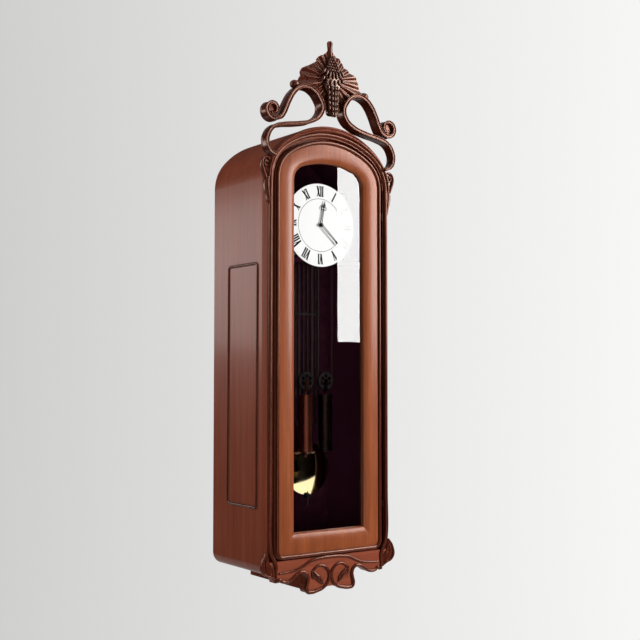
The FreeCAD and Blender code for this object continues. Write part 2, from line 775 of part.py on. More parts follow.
APRON_WAVE = [(147, -47), (142, -41), (135, -48), (125, -50), (110, -47), (95, -37), (80, -31), (70, -34),
              (64, -42)]
APRON_LOBE = [(64, -42), (66, -55), (69, -68), (66, -77), (55, -80), (40, -79), (25, -75), (12, -70),
              (0, -69)]
EAR_EDGE = [(173, 24), (181, 15), (187, 2), (189, -15), (181, -27), (166, -33), (154, -40)]
EAR_INSIDE = [(154, -40), (150, -32), (158, -3), (173, -3), (173, 24)]
SIDE_LEAF = [(168.5, 38), (167, 30), (170, 22), (179, 18.5), (188, 21), (192, 31), (189, 41), (180, 46),
             (172, 44)]
SIDE_TAIL = [(190, 24), (184.5, 8), (182.5, -14), (180.5, -28), (177, -44), (173, -70)]


def point(x, z, y=0.0):
    return FreeCAD.Vector(x, y, z)


def across(x):
    """A drawn distance from the middle, scaled by the apron's end, which lies at the case's side."""
    return x * num("case_half_width") / APRON_END[0][0]


def crest_point(x, z):
    """A point of the crest, drawn up from the top of the arch."""
    drawn_height = LEAF_TOP[0][1]
    return point(across(x), num("arch_rise - spring_drop") + z * num("crest_height") / drawn_height)


def apron_point(x, z):
    """A point of the apron or an ear, drawn down from the foot of the frame."""
    drawn_height = -min(spot[1] for spot in APRON_LOBE)
    return point(across(x), num("-apron_drop") + z * num("apron_height") / drawn_height)


def spring_point(x, z):
    """A point beside the shoulder, drawn up from the spring line."""
    return point(across(x), num("-spring_drop") + z)


def flip(points):
    """The same points on the left, in the other order."""
    return [point(-p.x, p.z) for p in reversed(points)]


def spline(points):
    curve = Part.BSplineCurve()
    curve.interpolate(points)
    return curve


def closed_face(curves):
    """A flat face inside curves that follow each other; gaps between them are closed by lines."""
    edges = []
    for curve, after in zip(curves, curves[1:] + curves[:1]):
        edges.append(curve.toShape())
        if curve.EndPoint.distanceToPoint(after.StartPoint) > 1e-6:
            edges.append(Part.LineSegment(curve.EndPoint, after.StartPoint).toShape())
    return Part.Face(Part.Wire(edges))


def polyline_face(points):
    return Part.Face(Part.makePolygon(points + points[:1]))


def slab(face, front, depth):
    """A face of the front view made into a solid, from a distance before the wall back by a depth."""
    solid = face.extrude(BACK * num(depth))
    solid.translate(BACK * -num(front))
    return solid


def fitted(solid, neighbours):
    """The solid with its seats cut to the pieces that it sits on."""
    doc.recompute()
    left_over = solid.cut([nodes[name].Shape for name in neighbours])
    return max(left_over.Solids, key=lambda piece: piece.Volume)


def ribbon_line():
    """The right ribbon's middle line: out of the volute, over the loop and down on the shoulder."""
    start, end = (math.radians(angle) for angle in VOLUTE_TURN)
    turns = 12
    volute = []
    for i in range(turns):
        share = i / turns
        angle = end + (start - end) * share
        radius = VOLUTE_RADII[1] + (VOLUTE_RADII[0] - VOLUTE_RADII[1]) * share
        volute.append((VOLUTE_CENTRE[0] + radius * math.cos(angle),
                       VOLUTE_CENTRE[1] + radius * math.sin(angle)))
    return spline([crest_point(*spot) for spot in volute + RIBBON_POINTS])


def ribbon_face():
    """The ribbon's front, a band along its middle line that narrows to both ends."""
    line = ribbon_line()
    steps = 70
    sides = ([], [])
    for i in range(steps + 1):
        share = i / steps
        at = line.FirstParameter + share * (line.LastParameter - line.FirstParameter)
        across = line.tangent(at)[0].cross(BACK)
        narrow = num("ribbon_width - ribbon_end_width") * max(0, 1 - 8 * min(share, 1 - share))
        half = (num("ribbon_width") - narrow) / 2
        for side, sign in zip(sides, (1, -1)):
            side.append(line.value(at) + across * (sign * half))
    return closed_face([spline(sides[0]), spline(sides[1][::-1])])


def make_crest():
    """Ribbons that end in volutes, the leaf that they hold and the grapes before it."""
    front = "(front_depth + crest_proud)"
    ribbon = slab(ribbon_face(), front, "crest_depth")
    ribbon = carved("crest_scroll_right", fitted(ribbon, ["frame_arch", "arched_top", "frame_bead"]))
    mirrored("crest_scroll_left", ribbon)

    top = [crest_point(*spot) for spot in LEAF_TOP]
    foot = [crest_point(*spot) for spot in LEAF_FOOT]
    half = top[1:] + foot[:-1]
    outline = [top[0]] + half + [foot[-1]] + flip(half)
    leaf = slab(polyline_face(outline), "(front_depth + leaf_proud)", "leaf_depth")
    carved("crest_leaf", fitted(leaf, ["crest_scroll_right", "crest_scroll_left"]))

    side = [crest_point(*spot) for spot in GRAPE_SIDE]
    bunch = closed_face([spline(side), spline(flip(side))])
    grapes = slab(bunch, "(front_depth + leaf_proud + grape_proud)", "grape_proud + leaf_depth")
    carved("grape_cluster", fitted(grapes, ["crest_leaf", "crest_scroll_right", "crest_scroll_left"]))


def make_side_scrolls():
    """A small volute beside each shoulder with a leaf that runs down the side."""
    eye = [spring_point(*spot) for spot in SIDE_LEAF]
    loop = Part.BSplineCurve()
    loop.interpolate(eye, PeriodicFlag=True)
    disc = slab(Part.Face(Part.Wire([loop.toShape()])), "(front_depth + scroll_proud)", "scroll_depth")
    tail = [spring_point(*spot) for spot in SIDE_TAIL]
    inner = spring_point(SIDE_TAIL[-1][0] - 2, SIDE_TAIL[0][1])
    leaf_edges = [spline(tail), Part.LineSegment(tail[-1], inner), Part.LineSegment(inner, tail[0])]
    leaf = slab(closed_face(leaf_edges), "(front_depth + scroll_proud)", "scroll_depth")
    around = ["frame_arch", "frame_stile_right", "arched_top", "side_right", "frame_bead",
              "crest_scroll_right"]
    mirrored("side_scroll_left", carved("side_scroll_right", fitted(disc.fuse(leaf), around)))


def make_apron():
    """The carved board under the door, with its waves and lobes, and an ear outside each lower corner."""
    curves = [spline([apron_point(*spot) for spot in run]) for run in (APRON_END, APRON_WAVE, APRON_LOBE)]
    left = [spline(flip([apron_point(*spot) for spot in run])) for run in (APRON_LOBE, APRON_WAVE, APRON_END)]
    end = APRON_END[0][0]
    top = Part.LineSegment(apron_point(-end, 0), apron_point(end, 0))
    face = closed_face(curves + left + [top])
    carved("apron", slab(face, "front_depth", FRAME_THICKNESS))

    inside = [apron_point(*spot) for spot in EAR_INSIDE]
    edges = [spline([apron_point(*spot) for spot in EAR_EDGE])]
    edges += [Part.LineSegment(*pair) for pair in zip(inside, inside[1:])]
    ear = slab(closed_face(edges), "(front_depth + ear_proud)", "ear_depth")
    mirrored("ear_left", carved("ear_right", fitted(ear, ["apron"])))


# Movement frame

def arbor_places():
    """Each arbor's place across the plates, with the hole that it needs in the front and the back plate."""
    pivot, hand, drum = "pivot_radius", "hand_arbor_radius", "axle_radius"
    return {
        "centre": ("0", "dial_drop", hand, pivot),
        "third": ("-third_offset", THIRD_DROP, pivot, pivot),
        "escape": ("0", ESCAPE_DROP, pivot, pivot),
        "anchor": ("0", ANCHOR_DROP, pivot, pivot),
        "drum_left": ("-drum_offset", DRUM_DROP, drum, drum),
        "drum_right": ("drum_offset", DRUM_DROP, drum, drum),
        "hammer": ("hammer_arbor_offset", "hammer_arbor_drop", pivot, pivot),
    }


def make_plates():
    """Two plates with pivot holes, standing on the seat board, and the pillars between them."""
    for label, front, side in (("front_plate", "plate_front", 2), ("back_plate", BACK_PLATE_FRONT, 3)):
        blank = box(f"{label}_blank", ("-plate_half_width", f"-{front}", "-seat_drop"),
                    ("2 * plate_half_width", "plate_thickness", "seat_drop - plate_top_drop"))
        holes = [rod(f"{label}_{name}_hole", (spot[0], f"-{front}", f"-{spot[1]}"), "plate_thickness",
                     f"{spot[side]} + running_fit", ALONG_Y) for name, spot in arbor_places().items()]
        plate = cut(f"{label}_drilled", blank, fuse(f"{label}_holes", holes))
        if label == "front_plate":
            stud = rod("minute_stud", ("motion_distance", "-(plate_front + minute_stud_length)",
                                       "-dial_drop"),
                       "minute_stud_length", "hand_arbor_radius", ALONG_Y)
            plate = fuse("front_plate_stud", [plate, stud])
        node(label, plate)
    edge = "(plate_half_width - pillar_inset)"
    drops = ("plate_top_drop + pillar_inset", "pillar_middle_drop")
    spots = [("0", "seat_drop - pillar_inset")]
    spots += [(f"{sign} * {edge}", drop) for drop in drops for sign in (1, -1)]
    pillars = [rod(f"pillar_{i}", (x, f"-{PLATE_BACK}", f"-({drop})"), "plate_gap", "pillar_radius", ALONG_Y)
               for i, (x, drop) in enumerate(spots)]
    node("plate_pillars", group("pillar_group", pillars))


def make_dial():
    """The round dial on three feet that stand on the front plate."""
    disc = rod("dial_disc", ("0", "-dial_front", "-dial_drop"), "dial_thickness", "dial_radius", ALONG_Y)
    hole = rod("dial_hole", ("0", "-dial_front", "-dial_drop"), "dial_thickness", "dial_hole_radius", ALONG_Y)
    back = "(dial_front - dial_thickness)"
    feet = [rod(f"dial_foot_{i}", (x, f"-{back}", f"-({drop})"), f"{back} - plate_front", "dial_foot_radius",
                ALONG_Y)
            for i, (x, drop) in enumerate([("-dial_foot_offset", "dial_foot_drop"),
                                           ("dial_foot_offset", "dial_foot_drop"),
                                           ("0", "seat_drop - pillar_inset")])]
    node("dial", fuse("dial_whole", [cut("dial_plate", disc, hole)] + feet))


def make_seat():
    """The board that carries the movement, on a cleat at each side."""
    depth = "seat_depth"
    board = box("seat_blank", (f"-{INNER_HALF}", "-seat_front", "-(seat_drop + seat_thickness)"),
                (f"2 * {INNER_HALF}", depth, "seat_thickness"))
    holes = [rod(f"line_hole_{i}", (f"{sign} * {LINE_OUTER}", "-line_front", "-(seat_drop + seat_thickness)"),
                 "seat_thickness", "line_hole_radius") for i, sign in enumerate((-1, 1))]
    node("seat_board", cut("seat_drilled", board, fuse("line_holes", holes)))
    foot = "-(seat_drop + seat_thickness + cleat_size)"
    cleats = [box(f"cleat_{i}", (low, "-seat_front", foot), ("cleat_size", depth, "cleat_size"))
              for i, low in enumerate((f"-{INNER_HALF}", f"{INNER_HALF} - cleat_size"))]
    node("seat_cleats", group("cleat_group", cleats))


# Wheels

def disc(x, z, radius, front, back, bore=0.0):
    """A round solid along Y between two distances before the wall."""
    solid = Part.makeCylinder(radius, front - back, point(x, z, -front), BACK)
    if bore:
        solid = solid.cut(Part.makeCylinder(bore, front - back, point(x, z, -front), BACK))
    return solid


def toothed(x, z, rings, front, back):
    """A solid with a toothed rim; each ring entry is a radius and an angle about the arbor."""
    spots = [point(x + r * math.cos(a), z + r * math.sin(a), -front) for r, a in rings]
    return polyline_face(spots).extrude(BACK * (front - back))


def gear(x, z, teeth, module, phase, front, back):
    """A wheel or pinion with straight-sided teeth, one of them at the phase angle."""
    pitch = module * teeth / 2
    root, tip = pitch - num("tooth_depth") * module, pitch + num("tooth_height") * module
    step = 2 * math.pi / teeth
    rings = []
    for i in range(teeth):
        middle = phase + i * step
        rings += [(root, middle - 0.24 * step), (tip, middle - 0.1 * step),
                  (tip, middle + 0.1 * step), (root, middle + 0.24 * step)]
    return toothed(x, z, rings, front, back)


def joined(solids):
    return solids[0].fuse(solids[1:]).removeSplitter()


def spot_of(name):
    """An arbor's place as numbers: across and up."""
    x, drop = arbor_places()[name][:2]
    return num(x), -num(drop)


def direction(first, second):
    return math.atan2(second[1] - first[1], second[0] - first[0])


def pinion_phase(wheel, pinion, teeth):
    """The phase that puts a gap of the pinion before the wheel's tooth."""
    return direction(pinion, wheel) + math.pi / teeth


def arbor(spot, radius, pivot, front=None, back=None):
    """An arbor between the plates with a pivot in each."""
    play = num("side_play")
    inside, behind = num(PLATE_BACK) - play, num(BACK_PLATE_FRONT) + play
    reach = num("plate_thickness") * 0.8 + play
    return [disc(*spot, radius, inside, behind),
            disc(*spot, pivot, front or inside + reach, inside),
            disc(*spot, pivot, behind, back or behind - reach)]


def make_train():
    """Great wheel, centre wheel, third wheel and escape wheel, each in mesh with the next."""
    thick, fit = num("wheel_thickness"), num("running_fit")
    great, centre, third, escape = (spot_of(name) for name in ("drum_left", "centre", "third", "escape"))
    inside = num(PLATE_BACK)
    great_front = inside - num("drum_width") - 3 * num("side_play")
    strike_front = great_front - thick - 2 * num("side_play")
    centre_front = strike_front - thick - 2 * num("side_play")
    third_front = centre_front - thick - num("side_play") * 2
    escape_front = third_front - thick - num("side_play") * 3

    teeth, module = round(num("great_teeth")), num("great_module")
    bore = num("drum_arbor_radius") + fit
    wheel = gear(*great, teeth, module, direction(great, centre), great_front, great_front - thick)
    carved("great_wheel", wheel.cut(disc(*great, bore, great_front, great_front - thick)))

    strike = spot_of("drum_right")
    wheel = gear(*strike, teeth, module, 0, strike_front, strike_front - thick)
    pins = []
    count = round(num("lifting_pins"))
    for i in range(count):
        angle = direction(strike, spot_of("hammer")) + 2 * math.pi * (i + 0.5) / count
        pins.append(disc(strike[0] + num("lifting_radius") * math.cos(angle),
                         strike[1] + num("lifting_radius") * math.sin(angle),
                         num("pivot_radius"), strike_front - thick, num("gong_front - pivot_radius")))
    wheel = wheel.cut(disc(*strike, bore, strike_front, strike_front - thick))
    carved("strike_wheel", joined([wheel] + pins))

    small = round(num("centre_pinion_teeth"))
    hand, shaft = num("hand_arbor_radius"), num("arbor_radius")
    tip = num("dial_front") + 8
    cannon_module = 2 * num("motion_distance") / num("cannon_teeth + minute_wheel_teeth")
    plate = num("plate_front")
    centre_teeth = round(num("centre_teeth"))
    cannon = gear(*centre, round(num("cannon_teeth")), cannon_module, math.pi / num("cannon_teeth"),
                  plate + 2.4, plate + 0.6)
    parts = arbor(centre, shaft, num("pivot_radius"))
    parts[1] = disc(*centre, hand, tip, inside - num("side_play"))
    parts += [gear(*centre, small, module, pinion_phase(great, centre, small), great_front + 0.1,
                   great_front - thick - 0.1),
              gear(*centre, centre_teeth, num("centre_module"), direction(centre, third), centre_front,
                   centre_front - thick),
              cannon]
    carved("centre_wheel", joined(parts))

    small, large = round(num("third_pinion_teeth")), round(num("third_teeth"))
    parts = arbor(third, num("hand_arbor_radius"), num("pivot_radius"))
    parts += [gear(*third, small, num("centre_module"), pinion_phase(centre, third, small),
                   centre_front + 0.1,
                   centre_front - thick - 0.1),
              gear(*third, large, num("third_module"), direction(third, escape), third_front,
                   third_front - thick)]
    carved("third_wheel", joined(parts))

    small = round(num("escape_pinion_teeth"))
    parts = arbor(escape, num("hand_arbor_radius"), num("pivot_radius"))
    parts += [gear(*escape, small, num("third_module"), pinion_phase(third, escape, small), third_front + 0.1,
                   third_front - thick - 0.1)]
    count, outer = round(num("escape_teeth")), num("escape_radius")
    inner = outer - num("escape_tooth_height")
    step = 2 * math.pi / count
    rings = []
    for i in range(count):
        middle = math.pi / 4 + (i + 0.25) * step
        rings += [(inner, middle - 0.3 * step), (outer, middle - 0.05 * step),
                  (outer, middle + 0.05 * step), (inner, middle + 0.3 * step)]
    parts.append(toothed(*escape, rings, escape_front, escape_front - thick))
    carved("escape_wheel", joined(parts))
    make_anchor(escape_front, thick)


def make_anchor(front, thick):
    """The anchor over the escape wheel, with the crutch that reaches back to the pendulum."""
    pivot = spot_of("anchor")
    reach, clear = num("escape_radius"), num("side_play") + 0.1
    bar_in, bar_out, nib = 2.6, 5.2, 0.35
    arms = []
    for side in (1, -1):
        along = point(side * math.sqrt(0.5), -math.sqrt(0.5))
        out = point(side * math.sqrt(0.5), math.sqrt(0.5))
        hub = point(*pivot, -front)
        for s0, s1, t0, t1 in ((0, reach + 1.5, bar_in, bar_out), (reach - nib, reach + nib, clear, bar_in)):
            spots = [hub + along * s + out * t for s, t in ((s0, t0), (s1, t0), (s1, t1), (s0, t1))]
            arms.append(polyline_face(spots).extrude(BACK * thick))
    parts = arbor(pivot, num("pivot_radius"), num("pivot_radius"), back=num(BACK_PLATE_BACK) - 3.5)
    parts += [disc(*pivot, bar_out, front, front - thick)] + arms
    crutch_front = num(BACK_PLATE_BACK) - 1.5
    half, gap = num("rod_radius"), num("rod_radius + side_play")
    rod_front = num("pendulum_front + rod_radius")
    foot = num("rod_top_drop") + 6
    parts.append(disc(*pivot, half + 1.5, crutch_front, crutch_front - 2))
    parts.append(Part.makeBox(2 * (gap + 1.5), 2, foot + pivot[1] - 0,
                              point(-gap - 1.5, -foot, -crutch_front)))
    for low in (gap, -gap - 1.5):
        parts.append(Part.makeBox(1.5, crutch_front - 2 - rod_front + 2 * half, 3,
                                  point(low, -foot, 2 - crutch_front)))
    carved("anchor", joined(parts))


def turned(shape, spot, degrees):
    """A solid turned clockwise, as the viewer sees it, about an arbor."""
    shape.rotate(point(*spot), BACK, degrees)
    return shape


def pierced_blade(centre, front, thick, length, split):
    """Two thin bars that run from the hub to a share of the hand's length, and the pointed end after them."""
    bars = [((-2.9, 0), (-1.5, 0), (-0.5, split), (-1.7, split)),
            ((1.5, 0), (2.9, 0), (1.7, split), (0.5, split)),
            ((-1.7, split - 0.02), (1.7, split - 0.02), (1.7, split), (-1.7, split)),
            ((-0.9, split - 0.01), (0.9, split - 0.01), (1.2, 0.9), (0, 1), (-1.2, 0.9))]
    solids = []
    for bar in bars:
        spots = [point(centre[0] + x, centre[1] + share * length, -front) for x, share in bar]
        solids.append(polyline_face(spots).extrude(BACK * thick))
    return solids


def make_motion_work():
    """Minute wheel on its stud, hour wheel with its hand, and the minute hand on the centre arbor."""
    centre = spot_of("centre")
    stud = (centre[0] + num("motion_distance"), centre[1])
    plate, fit = num("plate_front"), num("running_fit")
    wheel, pinion = round(num("minute_wheel_teeth")), round(num("minute_pinion_teeth"))
    cannon_module = 2 * num("motion_distance") / num("cannon_teeth + minute_wheel_teeth")
    hour_teeth = round(num("hour_teeth"))
    hour_module = 2 * num("motion_distance") / (pinion + hour_teeth)
    parts = [gear(*stud, wheel, cannon_module, math.pi, plate + 2.2, plate + 0.8),
             gear(*stud, pinion, hour_module, math.pi + math.pi / pinion, plate + 6.2, plate + 2.2)]
    carved("minute_wheel", joined(parts).cut(disc(*stud, num("hand_arbor_radius") + fit, plate + 8, plate)))

    dial, thick = num("dial_front"), num("hand_thickness")
    hand_bore = num("hand_arbor_radius")
    tube = disc(*centre, num("hour_tube_radius"), dial + 4.4, plate + 3.2)
    hour_front = dial + 4.2
    length = num("hour_hand_length")
    blade = pierced_blade(centre, hour_front, thick, length, 0.6)
    eyes = [disc(centre[0] + x, centre[1] + length * share, 4.2, hour_front, hour_front - thick, 2.8)
            for x, share in ((-3.6, 0.68), (3.6, 0.68), (0, 0.79))]
    hub = disc(*centre, 5, hour_front, hour_front - thick)
    hand = turned(joined([hub] + blade + eyes), centre, num("hour_hand_turn"))
    wheel = gear(*centre, hour_teeth, hour_module, 0, plate + 5.8, plate + 4.4)
    whole = joined([tube, wheel, hand]).cut(disc(*centre, hand_bore + fit, dial + 10, plate))
    carved("hour_hand", whole)

    minute_front = dial + 7.4
    length = num("minute_hand_length")
    blade = pierced_blade(centre, minute_front, thick, length, 0.72)
    loop = [(0, 0.7), (3.2, 0.82), (1, 0.92), (0, 0.94), (-1, 0.92), (-3.2, 0.82)]
    rim = [point(centre[0] + x, centre[1] + length * share, -minute_front) for x, share in loop]
    middle = point(centre[0], centre[1] + length * 0.82, -minute_front)
    hollow = [middle + (spot - middle) * 0.62 for spot in rim]
    loop = polyline_face(rim).cut(polyline_face(hollow)).extrude(BACK * thick)
    collet = disc(*centre, 4, minute_front + 0.4, minute_front - 2)
    hand = turned(joined([collet, loop] + blade), centre, num("minute_hand_turn"))
    carved("minute_hand", hand.cut(disc(*centre, hand_bore, minute_front + 2, minute_front - 4)))


# Weights and lines

def make_drums():
    """A line drum on each winding arbor."""
    for side, sign in (("left", "-1"), ("right", "1")):
        x, z = f"{sign} * drum_offset", f"-{DRUM_DROP}"
        front = f"({PLATE_BACK} - side_play)"
        groove = "drum_pitch_radius - line_radius - side_play"
        reach = "(plate_thickness * 0.8 + side_play)"
        core = rod(f"drum_core_{side}", (x, f"-{front}", z), "drum_width", groove, ALONG_Y)
        near = rod(f"drum_near_{side}", (x, f"-{front}", z), "drum_flange", "drum_flange_radius", ALONG_Y)
        far = rod(f"drum_far_{side}", (x, f"-{front} + drum_width - drum_flange", z), "drum_flange",
                  "drum_flange_radius", ALONG_Y)
        shaft = rod(f"drum_shaft_{side}", (x, f"-{front}", z), "plate_gap - 2 * side_play",
                    "drum_arbor_radius", ALONG_Y)
        pivots = rod(f"drum_pivots_{side}", (x, f"-({front} + {reach})", z),
                     f"plate_gap - 2 * side_play + 2 * {reach}", "axle_radius", ALONG_Y)
        node(f"drum_{side}", fuse(f"drum_whole_{side}", [core, near, far, shaft, pivots]))


def make_weights():
    """Each weight on its stirrup, with the spoked pulley that the line runs round."""
    half_gap = "(pulley_width / 2 + side_play)"
    for side, sign in (("left", "-1"), ("right", "1")):
        x = f"({sign} * weight_offset)"
        base = (x, "-line_front", "-(weight_top_drop + weight_height)")
        tip = (x, "-line_front", "-(weight_top_drop + weight_height + finial_length)")
        ball = doc.addObject("Part::Sphere", f"weight_finial_{side}")
        set_sizes(ball, Radius="finial_radius")
        place(ball, *tip)
        shell = fuse(f"weight_shell_{side}", [
            rod(f"weight_body_{side}", base, "weight_height", "weight_radius"),
            rod(f"weight_base_{side}", base, "weight_base_height", "weight_radius + weight_base_overhang"),
            rod(f"weight_stalk_{side}", tip, "finial_length", "finial_radius / 2"), ball])
        cheek_low = f"{x} - stirrup_width / 2"
        foot = "(pulley_drop + pulley_pitch_radius + pulley_flange + 2)"
        cheek_height = f"{foot} - pulley_drop + stirrup_width / 2"
        cheeks = [box(f"cheek_{side}_{i}", (cheek_low, low, f"-{foot}"),
                      ("stirrup_width", "stirrup_thickness", cheek_height))
                  for i, low in enumerate((f"-line_front - {half_gap} - stirrup_thickness",
                                           f"-line_front + {half_gap}"))]
        yoke = box(f"yoke_{side}", (cheek_low, f"-line_front - {half_gap} - stirrup_thickness",
                                    f"-{foot} - stirrup_thickness"),
                   ("stirrup_width", f"2 * {half_gap} + 2 * stirrup_thickness", "stirrup_thickness"))
        stem = rod(f"stem_{side}", (x, "-line_front", "-weight_top_drop"),
                   f"weight_top_drop - {foot} - stirrup_thickness / 2", "stirrup_width / 3")
        axle = rod(f"axle_{side}", (x, f"-line_front - {half_gap}", "-pulley_drop"), f"2 * {half_gap}",
                   "axle_radius", ALONG_Y)
        stirrup = fuse(f"stirrup_{side}", cheeks + [yoke, stem, axle])
        node(f"weight_{side}", group(f"weight_group_{side}", [shell, stirrup]))

        rim = "(pulley_pitch_radius + pulley_flange)"
        start = (x, "-line_front - pulley_width / 2", "-pulley_drop")
        wheel = rod(f"pulley_blank_{side}", start, "pulley_width", rim, ALONG_Y)
        groove_at = (x, "-line_front - line_radius - side_play", "-pulley_drop")
        band = "2 * (line_radius + side_play)"
        groove = cut(f"groove_{side}", rod(f"groove_out_{side}", groove_at, band, f"{rim} + 1", ALONG_Y),
                     rod(f"groove_in_{side}", groove_at, band, PULLEY_GROOVE, ALONG_Y))
        cuts = [groove, rod(f"pulley_bore_{side}", start, "pulley_width", "axle_radius + running_fit",
                            ALONG_Y)]
        spokes = round(num("pulley_spokes"))
        for i in range(spokes):
            turn = f"({360 * (i + 0.5) / spokes})"
            gap = (f"{x} + pulley_pitch_radius * 0.56 * cos{turn}", start[1],
                   f"-pulley_drop + pulley_pitch_radius * 0.56 * sin{turn}")
            cuts.append(rod(f"spoke_gap_{side}_{i}", gap, "pulley_width", "pulley_pitch_radius * 0.23",
                            ALONG_Y))
        node(f"pulley_{side}", cut(f"pulley_cut_{side}", wheel, fuse(f"pulley_cuts_{side}", cuts)))


def make_cables():
    """Each cable: down from the drum, round under the pulley and up to the seat board."""
    y, foot, pitch = -num("line_front"), -num("pulley_drop"), num("pulley_pitch_radius")
    for side, sign in (("left", -1), ("right", 1)):
        outer, inner = sign * num(LINE_OUTER), sign * num(LINE_INNER)
        start = point(outer, -num(DRUM_DROP), y)
        under = point(sign * num("weight_offset"), foot - pitch, y)
        down = Part.LineSegment(start, point(outer, foot, y))
        bend = Part.Arc(point(outer, foot, y), under, point(inner, foot, y))
        back_up = Part.LineSegment(point(inner, foot, y), point(inner, -num("seat_drop + seat_thickness"), y))
        path = Part.Wire([down.toShape(), bend.toShape(), back_up.toShape()])
        section = Part.Wire([Part.Circle(start, UP, num("line_radius")).toShape()])
        carved(f"cable_{side}", path.makePipeShell([section], True, False))


# Pendulum

def make_pendulum():
    """Spring, gridiron, bob and nut, hung from a cock on the back plate."""
    y = "-pendulum_front"
    cheek_room = "(spring_width / 2 + side_play)"
    near_cheek = f"-pendulum_front - {cheek_room} - cheek_thickness"
    far_cheek = f"-pendulum_front + {cheek_room}"
    top = f"({ANCHOR_DROP} - 9)"
    beam_depth = f"{BACK_PLATE_BACK} - pendulum_front + {cheek_room} + cheek_thickness"
    beam = box("cock_beam", ("-cock_half_width", f"-{BACK_PLATE_BACK}", f"-{top} - cock_thickness"),
               ("2 * cock_half_width", beam_depth, "cock_thickness"))
    cheeks = [box(f"cock_cheek_{i}", ("-cock_half_width", low, f"-{ANCHOR_DROP} - 5"),
                  ("2 * cock_half_width", "cheek_thickness", f"{ANCHOR_DROP} + 5 - {top}"))
              for i, low in enumerate((near_cheek, far_cheek))]
    pin_length = f"2 * {cheek_room} + 2 * cheek_thickness"
    hole = rod("cock_hole", ("0", near_cheek, f"-{ANCHOR_DROP}"), pin_length, "axle_radius + running_fit",
               ALONG_Y)
    node("suspension_cock", cut("cock_drilled", fuse("cock_blank", [beam] + cheeks), hole))

    strip = box("spring_strip", ("-spring_thickness / 2", "-pendulum_front - spring_width / 2",
                                 "-rod_top_drop"),
                ("spring_thickness", "spring_width", f"rod_top_drop - {ANCHOR_DROP} + axle_radius"))
    pin = rod("spring_pin", ("0", near_cheek, f"-{ANCHOR_DROP}"), pin_length, "axle_radius", ALONG_Y)
    node("suspension_spring", fuse("spring_whole", [strip, pin]))

    parts = []
    for i in range(-3, 4):
        parts.append(rod(f"grid_rod_{i + 3}", (f"{i} * rod_pitch", y, "-gridiron_foot_drop"),
                         "gridiron_foot_drop - gridiron_top_drop", "rod_radius"))
    half = "(3 * rod_pitch + rod_radius + 1)"
    for name, drop in (("top", "gridiron_top_drop"), ("middle", "gridiron_bar_drop"),
                       ("foot", "gridiron_foot_drop")):
        parts.append(box(f"grid_bar_{name}", (f"-{half}", f"{y} - gridiron_bar_depth / 2",
                                              f"-{drop} - gridiron_bar_height / 2"),
                         (f"2 * {half}", "gridiron_bar_depth", "gridiron_bar_height")))
    parts.append(rod("grid_neck", ("0", y, "-gridiron_top_drop"), "gridiron_top_drop - rod_top_drop",
                     "rod_radius"))
    parts.append(rod("grid_tail", ("0", y, "-rod_end_drop"), "rod_end_drop - gridiron_foot_drop",
                     "rod_radius"))
    node("gridiron", fuse("gridiron_whole", parts))

    sphere = "((bob_radius^2 + (bob_thickness / 2)^2) / bob_thickness)"
    shells = []
    for name, sign in (("near", "1"), ("far", "-1")):
        shell = doc.addObject("Part::Sphere", f"bob_{name}")
        set_sizes(shell, Radius=sphere)
        place(shell, "0", f"{y} + {sign} * ({sphere} - bob_thickness / 2)", "-bob_drop")
        shells.append(shell)
    lens = doc.addObject("Part::Common", "bob_lens")
    lens.Base, lens.Tool = shells
    eye = rod("bob_eye", ("0", y, "-bob_drop - bob_radius - 1"), "2 * bob_radius + 2",
              "rod_radius + running_fit")
    node("bob", cut("bob_drilled", lens, eye))

    nut_top = "(bob_drop + bob_radius)"
    nut = rod("nut_blank", ("0", y, f"-{nut_top} - rating_nut_height"), "rating_nut_height",
              "rating_nut_radius")
    thread = rod("nut_bore", ("0", y, f"-{nut_top} - rating_nut_height"), "rating_nut_height",
                 "rod_radius + running_fit")
    node("rating_nut", cut("nut_bored", nut, thread))


# Strike

def make_strike():
    """The hammer on its arbor, lifted by the pins of the strike wheel, and the gong rod on its post."""
    pivot = spot_of("hammer")
    head_z = -num("hammer_head_drop")
    thick = 2.0
    rod_x, play = num("gong_offset"), 1.0
    head_x = rod_x - num("gong_rod_radius") - play - num("hammer_head_length")
    plane = num("gong_front") + 1
    strike = spot_of("drum_right")
    toward = direction(pivot, strike)
    tail_end = math.dist(pivot, strike) - num("lifting_radius + pivot_radius + side_play")

    def bar(start, end, width):
        along = (point(*end) - point(*start)).normalize()
        across = along.cross(BACK) * (width / 2)
        spots = [point(*start) + across, point(*end) + across, point(*end) - across, point(*start) - across]
        face = polyline_face([spot + BACK * -plane for spot in spots])
        return face.extrude(BACK * thick)

    tail = (pivot[0] + tail_end * math.cos(toward), pivot[1] + tail_end * math.sin(toward))
    head = Part.makeCylinder(num("hammer_head_radius"), num("hammer_head_length"),
                             point(head_x, head_z, thick / 2 - plane), RIGHT)
    parts = arbor(pivot, num("hand_arbor_radius"), num("pivot_radius"))
    parts += [bar(pivot, tail, 3), bar(pivot, (head_x + 3, head_z), 3), head]
    carved("hammer", joined(parts))

    size, gap = "gong_post_size", "gong_post_gap"
    x = f"(gong_offset + {gap})"
    post = box("gong_post", (x, f"-gong_front - {size} / 2", "-seat_drop"),
               (size, size, "seat_drop - gong_top_drop"))
    block_low = f"(gong_offset - {gap})"
    block = box("gong_block", (block_low, f"-gong_front - {size} / 2", f"-gong_top_drop - {size}"),
                (f"{x} - {block_low}", size, size))
    chime = rod("gong_rod", ("gong_offset", "-gong_front", f"-gong_top_drop - {size} - gong_rod_length"),
                "gong_rod_length",
                "gong_rod_radius")
    node("gong", group("gong_group", [fuse("gong_stand", [post, block]), chime]))


